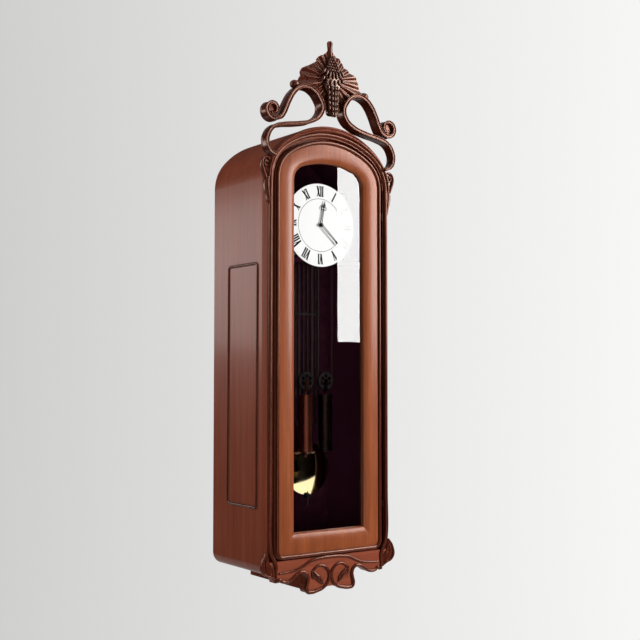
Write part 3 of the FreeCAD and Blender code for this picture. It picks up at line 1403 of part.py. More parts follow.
def check_and_write():
    """Recomputes the document, stops at any fault and writes each sub-part's solid."""
    doc.recompute()
    faults = [item.Name for item in doc.Objects if {"Invalid", "Error"} & set(item.State)]
    faults += [label for label, item in nodes.items() if item.Shape.isNull() or not item.Shape.isValid()]
    if faults:
        raise RuntimeError(f"these objects failed: {faults}")
    os.makedirs("parts", exist_ok=True)
    for label, item in nodes.items():
        item.Shape.exportStep(f"parts/{label}.step")


make_carcass()
make_side_beads()
make_front_frame()
make_door()
make_hinges()
make_apron()
make_crest()
make_side_scrolls()
make_seat()
make_plates()
make_dial()
make_train()
make_motion_work()
make_drums()
make_weights()
make_cables()
make_pendulum()
make_strike()
check_and_write()
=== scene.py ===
"""Dresses a weight-driven wall clock: carving, mouldings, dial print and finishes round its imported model."""

import math

import bpy
from bpy.props import FloatProperty, FloatVectorProperty, IntProperty, PointerProperty
from mathutils import Matrix, Vector


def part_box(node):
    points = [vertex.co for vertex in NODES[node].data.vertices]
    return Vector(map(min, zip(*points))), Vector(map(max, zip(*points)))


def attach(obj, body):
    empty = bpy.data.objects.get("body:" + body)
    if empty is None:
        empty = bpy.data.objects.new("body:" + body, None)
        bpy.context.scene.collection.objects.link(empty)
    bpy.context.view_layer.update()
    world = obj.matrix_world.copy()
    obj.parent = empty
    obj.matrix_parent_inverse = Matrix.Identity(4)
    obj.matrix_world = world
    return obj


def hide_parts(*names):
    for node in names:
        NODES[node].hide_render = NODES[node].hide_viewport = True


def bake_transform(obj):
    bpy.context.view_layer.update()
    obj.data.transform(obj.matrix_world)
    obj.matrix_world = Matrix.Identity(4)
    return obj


bl_info = {
    "name": "Carved Wall Clock",
    "version": (1, 0, 0),
    "blender": (4, 5, 0),
    "location": "3D View > Sidebar > Clock",
    "description": "Carving, mouldings, dial print and finishes of a weight-driven wall clock",
    "category": "Object",
}

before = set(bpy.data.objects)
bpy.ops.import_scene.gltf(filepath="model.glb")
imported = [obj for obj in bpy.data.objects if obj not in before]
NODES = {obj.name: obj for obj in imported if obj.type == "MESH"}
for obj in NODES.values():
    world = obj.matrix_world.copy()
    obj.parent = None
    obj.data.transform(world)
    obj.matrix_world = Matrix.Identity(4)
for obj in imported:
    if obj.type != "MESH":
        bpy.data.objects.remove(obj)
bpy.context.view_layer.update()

MM = 0.001
UPRIGHT = (math.pi / 2, 0, 0)
SIDES = ((-1, "left"), (1, "right"))

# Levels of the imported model, in millimetres: the front, the arches' spring line, the arch's top, the apron's top
# and the crest's front
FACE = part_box("apron")[0].y / MM
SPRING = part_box("door_arch")[0].z / MM
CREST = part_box("frame_arch")[1].z / MM
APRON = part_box("apron")[1].z / MM
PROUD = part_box("crest_leaf")[0].y / MM
DIAL_LOW, DIAL_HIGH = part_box("dial")

# Half width, shoulder radius and rise of each arch, in millimetres
HOOD_ARCH = (171.6, 98.6, 126)
BEAD_ARCH = (165.6, 92.6, 114.6)
SHADE_LINING_ARCH = (158.6, 85.6, 118.6)
DOOR_ARCH = (152, 79, 101)
WINDOW_ARCH = (97.5, 36, 47)

# Carving, right half of the front, in millimetres across and up from the arch's top; the volute by its middle, points,
# first angle and sweep in degrees, first radius and growth
RIBBON = [(146.5, 4), (139, 14), (126, 42), (111, 66), (95, 79), (75, 84), (55, 78), (39, 62), (31, 42), (38, 22),
          (60, 6), (100, -5), (140, -12), (165, -21), (179, -38), (182.5, -58), (175.5, -75), (158, -84)]
VOLUTE = (166.5, 19)
VOLUTE_POINTS, VOLUTE_START, VOLUTE_SWEEP, VOLUTE_EYE, VOLUTE_GROWTH = 15, 305, 430, 7, 15.5
LEAF_EDGE = [(0, 208), (5, 206), (7, 200), (7, 184), (10, 178), (20, 171), (33, 165), (37, 153), (55, 142),
             (77, 131), (83, 123), (83, 111), (88, 102), (98, 96), (102, 88), (99, 81), (93, 79), (84, 82),
             (70, 84), (52, 77), (38, 60), (31, 44), (14, 40), (0, 40)]
LEAF_ROOT = 112
STEM = [(0, 168), (0.4, 182), (2, 194), (2.6, 202), (1.4, 206), (0.8, 207.4)]
BUNCH = [(0, 168), (9, 164), (20, 138), (33, 108), (35, 97), (26, 84), (19, 70), (16, 45), (13, 30), (0, 27)]

# The crest leaf: share of its rays left open at the root, depths of back, rim and dome in metres, notch of the edge,
# and the angles, in radians, at which its plain tip ends and over which the folds begin
LEAF_EYE, LEAF_BACK, LEAF_RIM, LEAF_DOME, LEAF_NOTCH = 0.03, 0.016, 0.008, 0.006, 0.004
TIP_END, FOLD_START = math.radians(80), 0.25

# Right half, up from the spring line
SIDE_BODY = [(163, 43), (167.5, 30), (170, 18), (175, 7), (180, -3), (182.5, -16), (181, -29), (177, -43),
             (174, -56), (170, -66), (166, -76), (164.5, -50), (163.5, -10)]
SIDE_CURL = [(179, -4), (184, 8), (188.5, 20), (189.5, 31), (185.5, 40), (177.5, 43.5), (170.5, 39.5), (168.5, 31),
             (172.5, 24), (179.5, 23.5), (183, 29), (180, 35), (175.5, 34)]
SIDE_VEIN = [(166, 30), (168.5, 14), (173, 0), (175, -16), (173, -34), (170, -52), (167, -68)]
SIDE_EYE = (176.4, 33)

# Right half, up from the apron's top
FRAME_FOOT = [(150, -46), (150, -24), (150.5, -8), (155, 4), (162, 16), (165.6, 32), (165.6, 140)]
EAR_BODY = [(173, 24), (181, 15), (187, 2), (189, -15), (181, -27), (166, -33), (154, -40), (152, -32), (158, -10),
            (168, 2), (170, 14)]
EAR_RIM = [(172, 23), (180, 14), (185.5, 2), (187, -14), (180, -25), (166, -31), (154, -38)]
EAR_VEIN = [(172, 15), (177, 0), (174, -14), (162, -28)]
APRON_RISE = [(141, -27), (118, -26), (95, -23), (77, -17), (55, -7), (30, -3), (0, -2)]
APRON_WAVE = [(146, -45), (141, -40), (134, -45), (124, -47), (110, -44), (95, -34), (80, -29), (70, -32), (63, -42),
              (64, -56), (66.5, -67), (64, -75), (54, -77.5), (36, -75), (20, -70), (7, -58), (3, -43), (9, -29),
              (24, -20), (39, -22), (49, -31), (50, -42), (44, -47)]
APRON_LEAF = [(21, -62), (27, -55), (36, -45), (44, -37), (52, -28)]

# Sections: half of the ribbon's front edge by share of its half width and drop, the hood's double moulding, and the
# door's moulding by share of its width and depth behind the front
RIBBON_EDGE = [(0.5, 0.9), (0.84, 0), (1, 1), (0.97, 3), (0.78, 6.5)]
HOOD_SECTION = [(-6.5, 0), (-6.4, 4), (-4.6, 7.2), (-2.4, 7.6), (-0.5, 5.4), (0.5, 5.4), (2.4, 7.6), (4.6, 7.2),
                (6.4, 4), (6.5, 0)]
DOOR_SECTION = [(0, 3), (0.03, 1.4), (0.09, 0.4), (0.2, -0.6), (0.32, -1.3), (0.45, -1.7), (0.58, -1.75), (0.7, -1.3),
                (0.8, -0.4), (0.88, 0.9), (0.93, 2.3), (0.97, 4.3), (1, 8), (1, 10), (0.908, 10), (0.908, 18), (0, 18)]
DOOR_CORNER = 22

# Numerals, in millimetres: left and right of each stroke at its foot and at its top, middle and half width of each
# serif at the top, and the room that a letter takes
HOURS = ("I", "II", "III", "IIII", "V", "VI", "VII", "VIII", "IX", "X", "XI", "XII")
STROKES = {"I": [(-1.9, 1.9, -1.9, 1.9)], "V": [(-1.6, 2.6, -5.4, -1.0), (-0.8, 1.2, 2.6, 4.6)],
           "X": [(1.0, 5.4, -5.4, -1.0), (-4.3, -2.3, 2.6, 4.6)]}
SERIFS = {"I": [(0, 2.7)], "V": [(-3.5, 2.5), (3.5, 2.0)], "X": [(-3.5, 2.5), (3.5, 2.0)]}
SERIF_HEIGHT = 1.1
LETTER_ROOM = {"I": 5.3, "V": 9.2, "X": 9.4}

# Thickness of the dial's ink and its gap to the enamel, in metres
INK, INK_GAP = 0.00012, 0.00002

# Length of a curve's handle, as a share of the radius, that makes a quarter circle
ARC_HANDLE = 0.5523

# Where the outside begins, in metres: on the side boards and the frame's stiles from the middle, and at the wall
BOARD_FACE, STILE_FACE, WALL_FACE = 0.1715, 0.1718, -0.001

# Ranges of a noise that an effect stretches to its whole, softly or with more contrast
SOFT, SHARP = (0.3, 0.7), (0.35, 0.65)

# Studio, in metres. Cards: corner, sides across and up, glow, whether glass shows it, and from which side of the pane
CARDS = (
    ("window_card", (1.507, -2.23, -0.33), (2.0, 0, 0), (0, 0, 2.8), 19.5, True, "outside"),
    ("low_card", (-0.4, -2.25, -2.9), (4.6, 0, 0.6), (0, 0, 1.21), 1.55, True, "inside"),
    ("front_flag", (-0.4, -2.26, -2.6), (5.0, 0, 0), (0, 0, 5.1), 0.0, True),
    ("near_flag", (-4.0, -2.26, -2.4), (3.0, 0, 0), (0, 0, 4.9), 0.0),
    ("left_flag", (-4.0, -2.26, -2.4), (0, 3.4, 0), (0, 0, 4.9), 0.0),
    ("right_flag", (4.6, -2.26, -2.4), (0, 6.7, 0), (0, 0, 4.9), 0.0),
    ("back_flag", (-2.0, 4.4, -2.4), (6.6, 0, 0), (0, 0, 6.4), 0.0),
    ("side_flag", (-2.2, 1.2, -3.0), (0, 4.2, 0), (0, 0, 6.0), 0.0),
    ("side_card", (-2.19, 1.2, -0.33), (0, 4.2, 0), (0, 0, 0.4), 4.9),
    ("upper_card", (-2.19, 1.2, 0.07), (0, 4.2, 0), (0, 0, 0.5), 5.5),
)
# Lamps: place, aim, width, power in watts, and whether gloss shows it
LAMPS = (
    ("key", (1.75, -2.2, -0.2), (0, -0.2, -0.4), 0.5, 90, False),
    ("side_fill", (-2.4, 0.5, 0.7), (-0.1, -0.1, -0.4), 1.2, 36, True),
    ("low_fill", (-1.0, -2.6, -0.9), (0, -0.1, -0.4), 1.2, 10, True),
)
# Background: light on the object, and the sweep from grey to white across the view
AMBIENT = 0.2
SWEEP_AXIS = (0.8138, -0.5808, 0)
SWEEP_ENDS = (-0.29, 0.29)
SWEEP_TONES = (0.62, 0.93)
# Camera: place, direction, and focal length and sensor in millimetres
CAMERA_PLACE = (-1.4724, -2.2625, -0.4813)
CAMERA_AHEAD = (0.5802, 0.8129, 0.0505)
CAMERA_LENS, CAMERA_SENSOR = 60.29, 36


def linear(colour):
    """A picture colour, 0 to 255, as the light it stands for."""
    return tuple((c / 255) ** 2.2 for c in colour)


class ClockSizes(bpy.types.PropertyGroup):
    """Sizes of the carving, the mouldings and the dial's print."""
    ribbon_width: FloatProperty(name="Ribbon width", description="Width of the crest's ribbons on the front",
                                default=0.0095, unit="LENGTH")
    ribbon_depth: FloatProperty(name="Ribbon depth", description="Depth of the crest's ribbons",
                                default=0.030, unit="LENGTH")
    leaf_pleat: FloatProperty(name="Leaf pleat", description="Height of the folds in the crest's leaf",
                              default=0.0020, unit="LENGTH")
    leaf_thickness: FloatProperty(name="Leaf thickness", description="Thickness of the folded leaf",
                                  default=0.006, unit="LENGTH")
    frame_bead: FloatProperty(name="Frame bead", description="Half the width of the bead round the frame",
                              default=0.005, unit="LENGTH")
    apron_bead: FloatProperty(name="Apron bead", description="Half the width of the beads on the apron",
                              default=0.0046, unit="LENGTH")
    relief_bead: FloatProperty(name="Relief bead", description="Half the width of the lines in the small carvings",
                               default=0.0022, unit="LENGTH")
    numeral_height: FloatProperty(name="Numeral height", description="Height of the dial's numerals",
                                  default=0.0250, unit="LENGTH")
    numeral_radius: FloatProperty(name="Numeral radius", description="Middle of the numerals from the dial's centre",
                                  default=0.0808, unit="LENGTH")
    track_radius: FloatProperty(name="Track radius", description="Radius of the fine ring inside the numerals",
                                default=0.0635, unit="LENGTH")
    pleats: IntProperty(name="Pleats", description="Folds round the whole of the leaf", default=22, min=8)


class ClockColours(bpy.types.PropertyGroup):
    """Colours of the clock's finishes."""
    case_light: FloatVectorProperty(name="Case, light grain", description="Pale grain of the case's sides",
                                    subtype="COLOR", default=linear((136, 72, 52)))
    case_dark: FloatVectorProperty(name="Case, dark grain", description="Dark grain of the case's sides",
                                   subtype="COLOR", default=linear((100, 50, 37)))
    frame_light: FloatVectorProperty(name="Frame, light grain", description="Pale grain of the front frame",
                                     subtype="COLOR", default=linear((50, 15, 9)))
    frame_dark: FloatVectorProperty(name="Frame, dark grain", description="Dark grain of the front frame",
                                    subtype="COLOR", default=linear((32, 9, 6)))
    door_light: FloatVectorProperty(name="Door, light grain", description="Pale grain of the door's wood",
                                    subtype="COLOR", default=linear((142, 78, 47)))
    door_dark: FloatVectorProperty(name="Door, dark grain", description="Dark grain of the door's wood",
                                   subtype="COLOR", default=linear((100, 50, 30)))
    # The dark tone is also painted into the carving's hollows as shade, and the edges keep the lighter grain as painted
    # highlight and rubbed wear.
    carved_light_and_edge_highlight: FloatVectorProperty(name="Carving, raised", description="Rubbed colour of the carving's edges",
                                      subtype="COLOR", default=linear((120, 55, 38)))
    carved_dark_and_hollow_shade: FloatVectorProperty(name="Carving, hollows", description="Stain left in the carving's hollows",
                                     subtype="COLOR", default=linear((48, 19, 13)))
    # Dark inside of the case, partly its dark interior and partly painted shade for the unlit inside.
    lining_and_shade: FloatVectorProperty(name="Lining", description="Dark inside of the case", subtype="COLOR",
                                default=linear((90, 46, 64)))
    dial: FloatVectorProperty(name="Dial", description="White enamel of the dial", subtype="COLOR",
                              default=(0.88, 0.88, 0.87))
    brass: FloatVectorProperty(name="Brass", description="Brass of the movement", subtype="COLOR",
                               default=(0.62, 0.44, 0.18))
    bob: FloatVectorProperty(name="Polished brass", description="Brass of the pendulum's bob", subtype="COLOR",
                             default=(0.93, 0.76, 0.42))
    # Copper darkened as painted shade for the unlit inside of the case.
    copper: FloatVectorProperty(name="Weight copper", description="Dark copper of the left weight", subtype="COLOR",
                                default=(0.16, 0.042, 0.025))


def clear():
    """Selects nothing."""
    bpy.ops.object.select_all(action="DESELECT")


def only(piece):
    """Selects one piece and makes it the active one."""
    clear()
    piece.select_set(True)
    bpy.context.view_layer.objects.active = piece


def copied(piece):
    """A copy of a piece, with its own mesh."""
    only(piece)
    bpy.ops.object.duplicate(linked=False)
    return bpy.context.object


def removed(*helpers):
    """Deletes sections and patterns that have done their work."""
    for helper in helpers:
        bpy.data.objects.remove(helper)


def settled(piece, place, turn=(0, 0, 0), size=(1, 1, 1)):
    """Fixes a place in millimetres, a turn and a scale in the mesh of the piece that is selected."""
    piece.location = [c * MM for c in place]
    piece.rotation_euler = turn
    piece.scale = size
    bpy.ops.object.transform_apply(location=True, rotation=True, scale=True)
    return piece


def ball(radius, place, size, segments, rings):
    """A sphere by its radius and place in millimetres, scaled along each axis."""
    clear()
    bpy.ops.mesh.primitive_uv_sphere_add(segments=segments, ring_count=rings, radius=radius * MM)
    return settled(bpy.context.object, place, size=size)


def joined(name, pieces):
    """Several meshes made into one piece."""
    only(pieces[0])
    for piece in pieces:
        piece.select_set(True)
    if len(pieces) > 1:
        bpy.ops.object.join()
    whole = bpy.context.object
    whole.name = whole.data.name = name
    return whole


def tidied(piece, angle=40):
    """Merges doubled points, turns the faces outwards and smooths all but the sharp edges."""
    only(piece)
    bpy.ops.object.mode_set(mode="EDIT")
    bpy.ops.mesh.select_all(action="SELECT")
    bpy.ops.mesh.remove_doubles(threshold=1e-6)
    bpy.ops.mesh.normals_make_consistent(inside=False)
    bpy.ops.object.mode_set(mode="OBJECT")
    bpy.ops.object.shade_smooth_by_angle(angle=math.radians(angle))
    return piece


def coated(piece, finish):
    """Gives a piece one finish, by its name."""
    piece.data.materials.clear()
    piece.data.materials.append(bpy.data.materials[finish])


def carried(piece, body, slot, finish, *nodes):
    """Fixes a piece with its finish to a body, and lets it stand for the nodes named."""
    coated(piece, finish)
    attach(piece, body)
    if nodes:
        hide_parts(*nodes)


def carved(piece, *nodes):
    """Fixes a piece of stained carving to the case."""
    carried(piece, "case", "carved_wood", "stained_carving", *nodes)


def drawn(points, closed=False, handles="AUTOMATIC", steps=8):
    """A flat curve through points given in millimetres."""
    clear()
    bpy.ops.curve.primitive_bezier_curve_add(enter_editmode=True)
    bpy.ops.curve.select_all(action="SELECT")
    bpy.ops.curve.delete(type="VERT")
    for across, up in points:
        bpy.ops.curve.vertex_add(location=(across * MM, up * MM, 0))
    bpy.ops.curve.select_all(action="SELECT")
    bpy.ops.curve.handle_type_set(type=handles)
    if closed:
        bpy.ops.curve.cyclic_toggle()
    bpy.ops.object.mode_set(mode="OBJECT")
    return flat_line(bpy.context.object, steps)


def flat_line(curve, steps):
    """Makes a curve a bare flat line with a number of steps between its points."""
    curve.data.dimensions = "2D"
    curve.data.fill_mode = "NONE"
    curve.data.resolution_u = steps
    return curve


def round_section(wide, proud):
    """An oval section, by its half width and half height in metres."""
    clear()
    bpy.ops.curve.primitive_bezier_circle_add(radius=1)
    section = settled(bpy.context.object, (0, 0, 0), size=(wide, proud, 1))
    return flat_line(section, 4)


def meshed(curve, name, depth):
    """The curve as a mesh that stands upright, its middle at a depth in millimetres."""
    only(curve)
    bpy.ops.object.convert(target="MESH")
    piece = bpy.context.object
    piece.name = piece.data.name = name
    return tidied(settled(piece, (0, depth, 0), UPRIGHT))


def bevelled(curve, section):
    """Runs a section along a curve and closes its ends."""
    curve.data.bevel_mode = "OBJECT"
    curve.data.bevel_object = section
    curve.data.use_fill_caps = True


def swept(name, points, section, depth, sizes):
    """A section run along points, scaled by a size at each one."""
    curve = drawn(points)
    for spot, size in zip(curve.data.splines[0].bezier_points, sizes):
        spot.radius = size
    bevelled(curve, section)
    return meshed(curve, name, depth)


def slab(name, outline, front, depth, rounding):
    """A board of that outline with rounded edges, its front and depth in millimetres."""
    curve = drawn(outline, closed=True)
    curve.data.fill_mode = "BOTH"
    curve.data.extrude = (depth / 2 - rounding) * MM
    curve.data.bevel_depth = rounding * MM
    curve.data.bevel_resolution = 3
    curve.data.offset = -rounding * MM
    return meshed(curve, name, front + depth / 2)


def thickened(piece, thickness, offset):
    """Gives a selected sheet its thickness, to the side of an offset."""
    wall = piece.modifiers.new("wall", "SOLIDIFY")
    wall.thickness = thickness
    wall.offset = offset
    bpy.ops.object.modifier_apply(modifier="wall")
    return piece


def mirrored(points):
    """Points of the right half, taken back along the left one."""
    return [(-x, z) for x, z in reversed(points)]


def raised(points, up, side=1):
    """Points moved up by a height, and to the left half where side is -1."""
    return [(side * x, z + up) for x, z in points]


def shares(count):
    """Even shares of a whole, the last one being all of it."""
    return [i / count for i in range(1, count + 1)]


def swell(count, first, middle, last):
    """Sizes along a line, from first through middle to last."""
    places = [i / (count - 1) for i in range(count)]
    return [first + (middle - first) * min(1, 2 * s) + (last - middle) * max(0, 2 * s - 1) for s in places]


def arch_line(half, shoulder, rise, steps=6):
    """A three-centred arch over the spring line, from right to left."""
    spread = half - shoulder
    crown = (spread ** 2 + rise ** 2 - shoulder ** 2) / (2 * (rise - shoulder))
    turn = math.atan2(crown - rise, spread)
    line = []
    for i in range(steps):
        a = turn * i / steps
        line.append((spread + shoulder * math.cos(a), SPRING + shoulder * math.sin(a)))
    for i in range(steps):
        a = turn + (math.pi / 2 - turn) * i / steps
        line.append((crown * math.cos(a), SPRING + rise - crown + crown * math.sin(a)))
    return line + [(0, SPRING + rise)] + mirrored(line)


# Finishes

def fed(tree, node, **values):
    """Links or sets a node's inputs by their names."""
    for name, value in values.items():
        socket = node.inputs[name.replace("_", " ")]
        if isinstance(value, bpy.types.NodeSocket):
            tree.links.new(value, socket)
        elif socket.type == "RGBA" and len(value) == 3:
            socket.default_value = (*value, 1)
        else:
            socket.default_value = value


def placed(tree, kind, **inputs):
    """A new node with its inputs."""
    made = tree.nodes.new(kind)
    fed(tree, made, **inputs)
    return made


def effect(name, inputs, outputs):
    """An empty shader group with named sockets."""
    tree = bpy.data.node_groups.new(name, "ShaderNodeTree")
    for way, sockets in (("INPUT", inputs), ("OUTPUT", outputs)):
        for label, kind in sockets.items():
            tree.interface.new_socket(name=label, in_out=way, socket_type=f"NodeSocket{kind}")
    return tree, tree.nodes.new("NodeGroupInput").outputs, tree.nodes.new("NodeGroupOutput")


def two_tone_effect(name):
    """An empty group that makes a surface from two tones and a gloss."""
    return effect(name, {"Vector": "Vector", "Light": "Color", "Dark": "Color", "Gloss": "Float"},
                  {"Color": "Color", "Roughness": "Float", "Height": "Float"})


def stretched_noise(tree, vector, scale, detail, roughness=0.55):
    """Noise drawn out by a scale along each axis."""
    mapping = placed(tree, "ShaderNodeMapping", Vector=vector, Scale=scale)
    noise = placed(tree, "ShaderNodeTexNoise", Vector=mapping.outputs["Vector"], Scale=1.0, Detail=detail,
                   Roughness=roughness)
    return noise.outputs["Fac"]


def reckoned(tree, operation, first, second):
    """A sum, product or other reckoning of two values or sockets."""
    made = tree.nodes.new("ShaderNodeMath")
    made.operation = operation
    for socket, value in zip(made.inputs, (first, second)):
        if isinstance(value, (int, float)):
            socket.default_value = value
        else:
            tree.links.new(value, socket)
    return made.outputs[0]


def weighed(tree, first, *others):
    """The sum of values, each times its share."""
    total = reckoned(tree, "MULTIPLY", *first)
    for pair in others:
        total = reckoned(tree, "ADD", total, reckoned(tree, "MULTIPLY", *pair))
    return total


def spread_out(tree, value, low, high, to_low=0.0, to_high=1.0):
    """A value stretched from one range to another."""
    made = placed(tree, "ShaderNodeMapRange", Value=value, From_Min=low, From_Max=high, To_Min=to_low, To_Max=to_high)
    return made.outputs["Result"]


def mixed(tree, share, first, second):
    """A colour between two colours or sockets."""
    made = tree.nodes.new("ShaderNodeMix")
    made.data_type = "RGBA"
    tree.links.new(share, made.inputs["Factor"])
    for socket, value in zip((made.inputs[6], made.inputs[7]), (first, second)):
        if isinstance(value, bpy.types.NodeSocket):
            tree.links.new(value, socket)
        else:
            socket.default_value = (*value, 1)
    return made.outputs[2]


def switched(tree, share, first, second, out):
    """Shows the first shader, and the second one where the share is whole."""
    mix = placed(tree, "ShaderNodeMixShader", Fac=share)
    tree.links.new(first, mix.inputs[1])
    tree.links.new(second, mix.inputs[2])
    tree.links.new(mix.outputs["Shader"], tree.nodes[out].inputs["Surface"])


def grain_effect():
    """Fine upright grain with broader bands and a cloudy stain."""
    tree, given, out = two_tone_effect("wood_grain")
    vector = given["Vector"]
    fibre = stretched_noise(tree, vector, (520, 520, 9), 4, 0.6)
    band = stretched_noise(tree, vector, (46, 46, 1.3), 3)
    cloud = stretched_noise(tree, vector, (5, 5, 3), 2)
    share = spread_out(tree, weighed(tree, (fibre, 0.5), (band, 0.35), (cloud, 0.15)), 0.34, 0.66)
    fed(tree, out, Color=mixed(tree, share, given["Dark"], given["Light"]),
        Roughness=reckoned(tree, "ADD", given["Gloss"], spread_out(tree, fibre, *SOFT, 0, 0.12)),
        Height=weighed(tree, (fibre, 1), (band, 0.6)))


def wear_and_hollow_shade_effect():
    """Hollows painted darker as shade, and edges kept lighter partly as rubbed wear and partly as painted highlight,
    with some unevenness.
    """
    tree, given, out = effect("wear_and_hollow_shade", {"Vector": "Vector", "Reach": "Float"}, {"Edge": "Float"})
    shape = tree.nodes.new("ShaderNodeNewGeometry")
    patch = stretched_noise(tree, given["Vector"], (90, 90, 90), 3)
    lean = reckoned(tree, "DIVIDE", reckoned(tree, "SUBTRACT", shape.outputs["Pointiness"], 0.5), given["Reach"])
    # Low pointiness in the hollows gives painted shade; high pointiness on the edges gives painted highlight along with
    # rubbed wear.
    fed(tree, out, Edge=spread_out(tree, weighed(tree, (lean, 0.5), (patch, 0.5)), 0.0, 0.8))


def lapped_effect():
    """Hair-fine lines and soft clouding on worked metal."""
    tree, given, out = two_tone_effect("lapped_metal")
    lines = stretched_noise(tree, given["Vector"], (1500, 900, 40), 3)
    cloud = stretched_noise(tree, given["Vector"], (28, 28, 28), 3)
    share = spread_out(tree, weighed(tree, (lines, 0.4), (cloud, 0.6)), *SHARP)
    fed(tree, out, Color=mixed(tree, share, given["Dark"], given["Light"]),
        Roughness=reckoned(tree, "ADD", given["Gloss"], spread_out(tree, cloud, *SOFT, 0, 0.1)), Height=lines)


def finish(name):
    """A new material, its node tree, its surface shader and the piece's own coordinates."""
    material = bpy.data.materials.new(name)
    material.use_nodes = True
    tree = material.node_tree
    place = tree.nodes.new("ShaderNodeTexCoord")
    return material, tree, tree.nodes["Principled BSDF"], place.outputs["Object"]


def bumped(tree, shader, height, strength, distance):
    """Relief on a surface from a height."""
    bump = placed(tree, "ShaderNodeBump", Height=height, Strength=strength, Distance=distance)
    fed(tree, shader, Normal=bump.outputs["Normal"])


def used(tree, group, vector, **values):
    """The outputs of an effect placed in a material with its own values."""
    made = tree.nodes.new("ShaderNodeGroup")
    made.node_tree = bpy.data.node_groups[group]
    fed(tree, made, Vector=vector, **values)
    return made.outputs


def part_of(tree, vector, axis):
    """One coordinate of a place."""
    return placed(tree, "ShaderNodeSeparateXYZ", Vector=vector).outputs[axis]


def beyond(tree, vector, limit):
    """A mask of what lies further from the middle than a limit, to either side."""
    return reckoned(tree, "GREATER_THAN", reckoned(tree, "ABSOLUTE", part_of(tree, vector, "X"), 0), limit)


def at_wall(tree, vector):
    """A mask of the faces that lie against the wall."""
    return reckoned(tree, "GREATER_THAN", part_of(tree, vector, "Y"), WALL_FACE)


def wood(name, light, dark, gloss, coat, lining_and_shade=None, flank=None, shine=0.1, blur=0.14, lying=False):
    """Stained and polished wood; the inside colour darkens faces within the case, partly the case's dark interior and
    partly painted shade for its unlit inside, and flank gives the colours of its sides.
    """
    material, tree, shader, vector = finish(name)
    if lying:
        vector = placed(tree, "ShaderNodeMapping", Vector=vector, Rotation=(0, math.pi / 2, 0)).outputs["Vector"]
    grain = used(tree, "wood_grain", vector, Light=light, Dark=dark, Gloss=gloss)
    colour, rough = grain["Color"], grain["Roughness"]
    fed(tree, shader, Coat_Weight=coat, Coat_Roughness=blur, Specular_IOR_Level=shine)
    # Painted shade: faces within the case take the dark inside colour, rough and without coat, partly a dark interior
    # and partly shade.
    if lining_and_shade is not None:
        out = reckoned(tree, "MAXIMUM", beyond(tree, vector, BOARD_FACE), at_wall(tree, vector))
        colour = mixed(tree, out, lining_and_shade, colour)
        rough = reckoned(tree, "MAXIMUM", rough, reckoned(tree, "SUBTRACT", 1, out))
        fed(tree, shader, Coat_Weight=reckoned(tree, "MULTIPLY", out, coat))
    if flank is not None:
        side = used(tree, "wood_grain", vector, Light=flank[0], Dark=flank[1], Gloss=gloss)
        colour = mixed(tree, beyond(tree, vector, STILE_FACE), colour, side["Color"])
    fed(tree, shader, Base_Color=colour, Roughness=rough)
    bumped(tree, shader, grain["Height"], strength=0.12, distance=0.0004)
    return material


def carved_wood(name, light, dark, shine, tint=(1.0, 0.55, 0.38)):
    """Dark stained carving with a warm shine; its hollows painted darker as shade and its edges lighter as rubbed wear
    and painted highlight.
    """
    material, tree, shader, vector = finish(name)
    wear_and_shade = used(tree, "wear_and_hollow_shade", vector, Reach=0.2)
    grain = used(tree, "wood_grain", vector, Light=light, Dark=dark, Gloss=0.2)
    # Painted shade: the hollows take the dark tone, while the edges keep the grain's colour as painted highlight and
    # rubbed wear.
    fed(tree, shader, Base_Color=mixed(tree, wear_and_shade["Edge"], dark, grain["Color"]), Roughness=grain["Roughness"],
        Specular_IOR_Level=shine, Specular_Tint=tint)
    bumped(tree, shader, grain["Height"], strength=0.08, distance=0.0003)
    return material


def metal(name, light, dark, gloss, relief=0.05):
    """Worked metal with fine lines."""
    material, tree, shader, vector = finish(name)
    face = used(tree, "lapped_metal", vector, Light=light, Dark=dark, Gloss=gloss)
    fed(tree, shader, Base_Color=face["Color"], Roughness=face["Roughness"], Metallic=1.0)
    bumped(tree, shader, face["Height"], strength=relief, distance=0.0002)
    return material


def painted(name, light, dark, gloss, scale=60.0, shine=0.5, behind=None):
    """Paint or enamel with a faint unevenness; behind gives the grain of a bare back at the wall."""
    material, tree, shader, vector = finish(name)
    cloud = stretched_noise(tree, vector, (scale, scale, scale), 4)
    colour = mixed(tree, spread_out(tree, cloud, *SHARP), dark, light)
    if behind:
        bare = used(tree, "wood_grain", vector, Light=behind[0], Dark=behind[1])
        colour = mixed(tree, at_wall(tree, vector), colour, bare["Color"])
    fed(tree, shader, Base_Color=colour, Roughness=spread_out(tree, cloud, *SOFT, gloss, gloss + 0.1),
        Specular_IOR_Level=shine)
    bumped(tree, shader, cloud, strength=0.04, distance=0.0003)
    return material


def pane():
    """Clear window glass that lets the studio's light through."""
    material, tree, shader, vector = finish("window_glass")
    haze = stretched_noise(tree, vector, (14, 14, 14), 3)
    fed(tree, shader, Base_Color=(1, 1, 1), Roughness=spread_out(tree, haze, *SOFT, 0.0, 0.004),
        Transmission_Weight=1.0, IOR=1.5)
    path = tree.nodes.new("ShaderNodeLightPath")
    through = tree.nodes.new("ShaderNodeBsdfTransparent")
    switched(tree, path.outputs["Is Shadow Ray"], shader.outputs["BSDF"], through.outputs["BSDF"], "Material Output")
    return material


def shade(colour, share):
    """A darker tone of a colour."""
    return tuple(c * share for c in colour)


def dressed(material, *names):
    """Puts a finish on nodes of the model."""
    for name in names:
        piece = NODES[name]
        if not piece.material_slots:
            piece.data.materials.append(material)
        for held in piece.material_slots:
            held.material = material


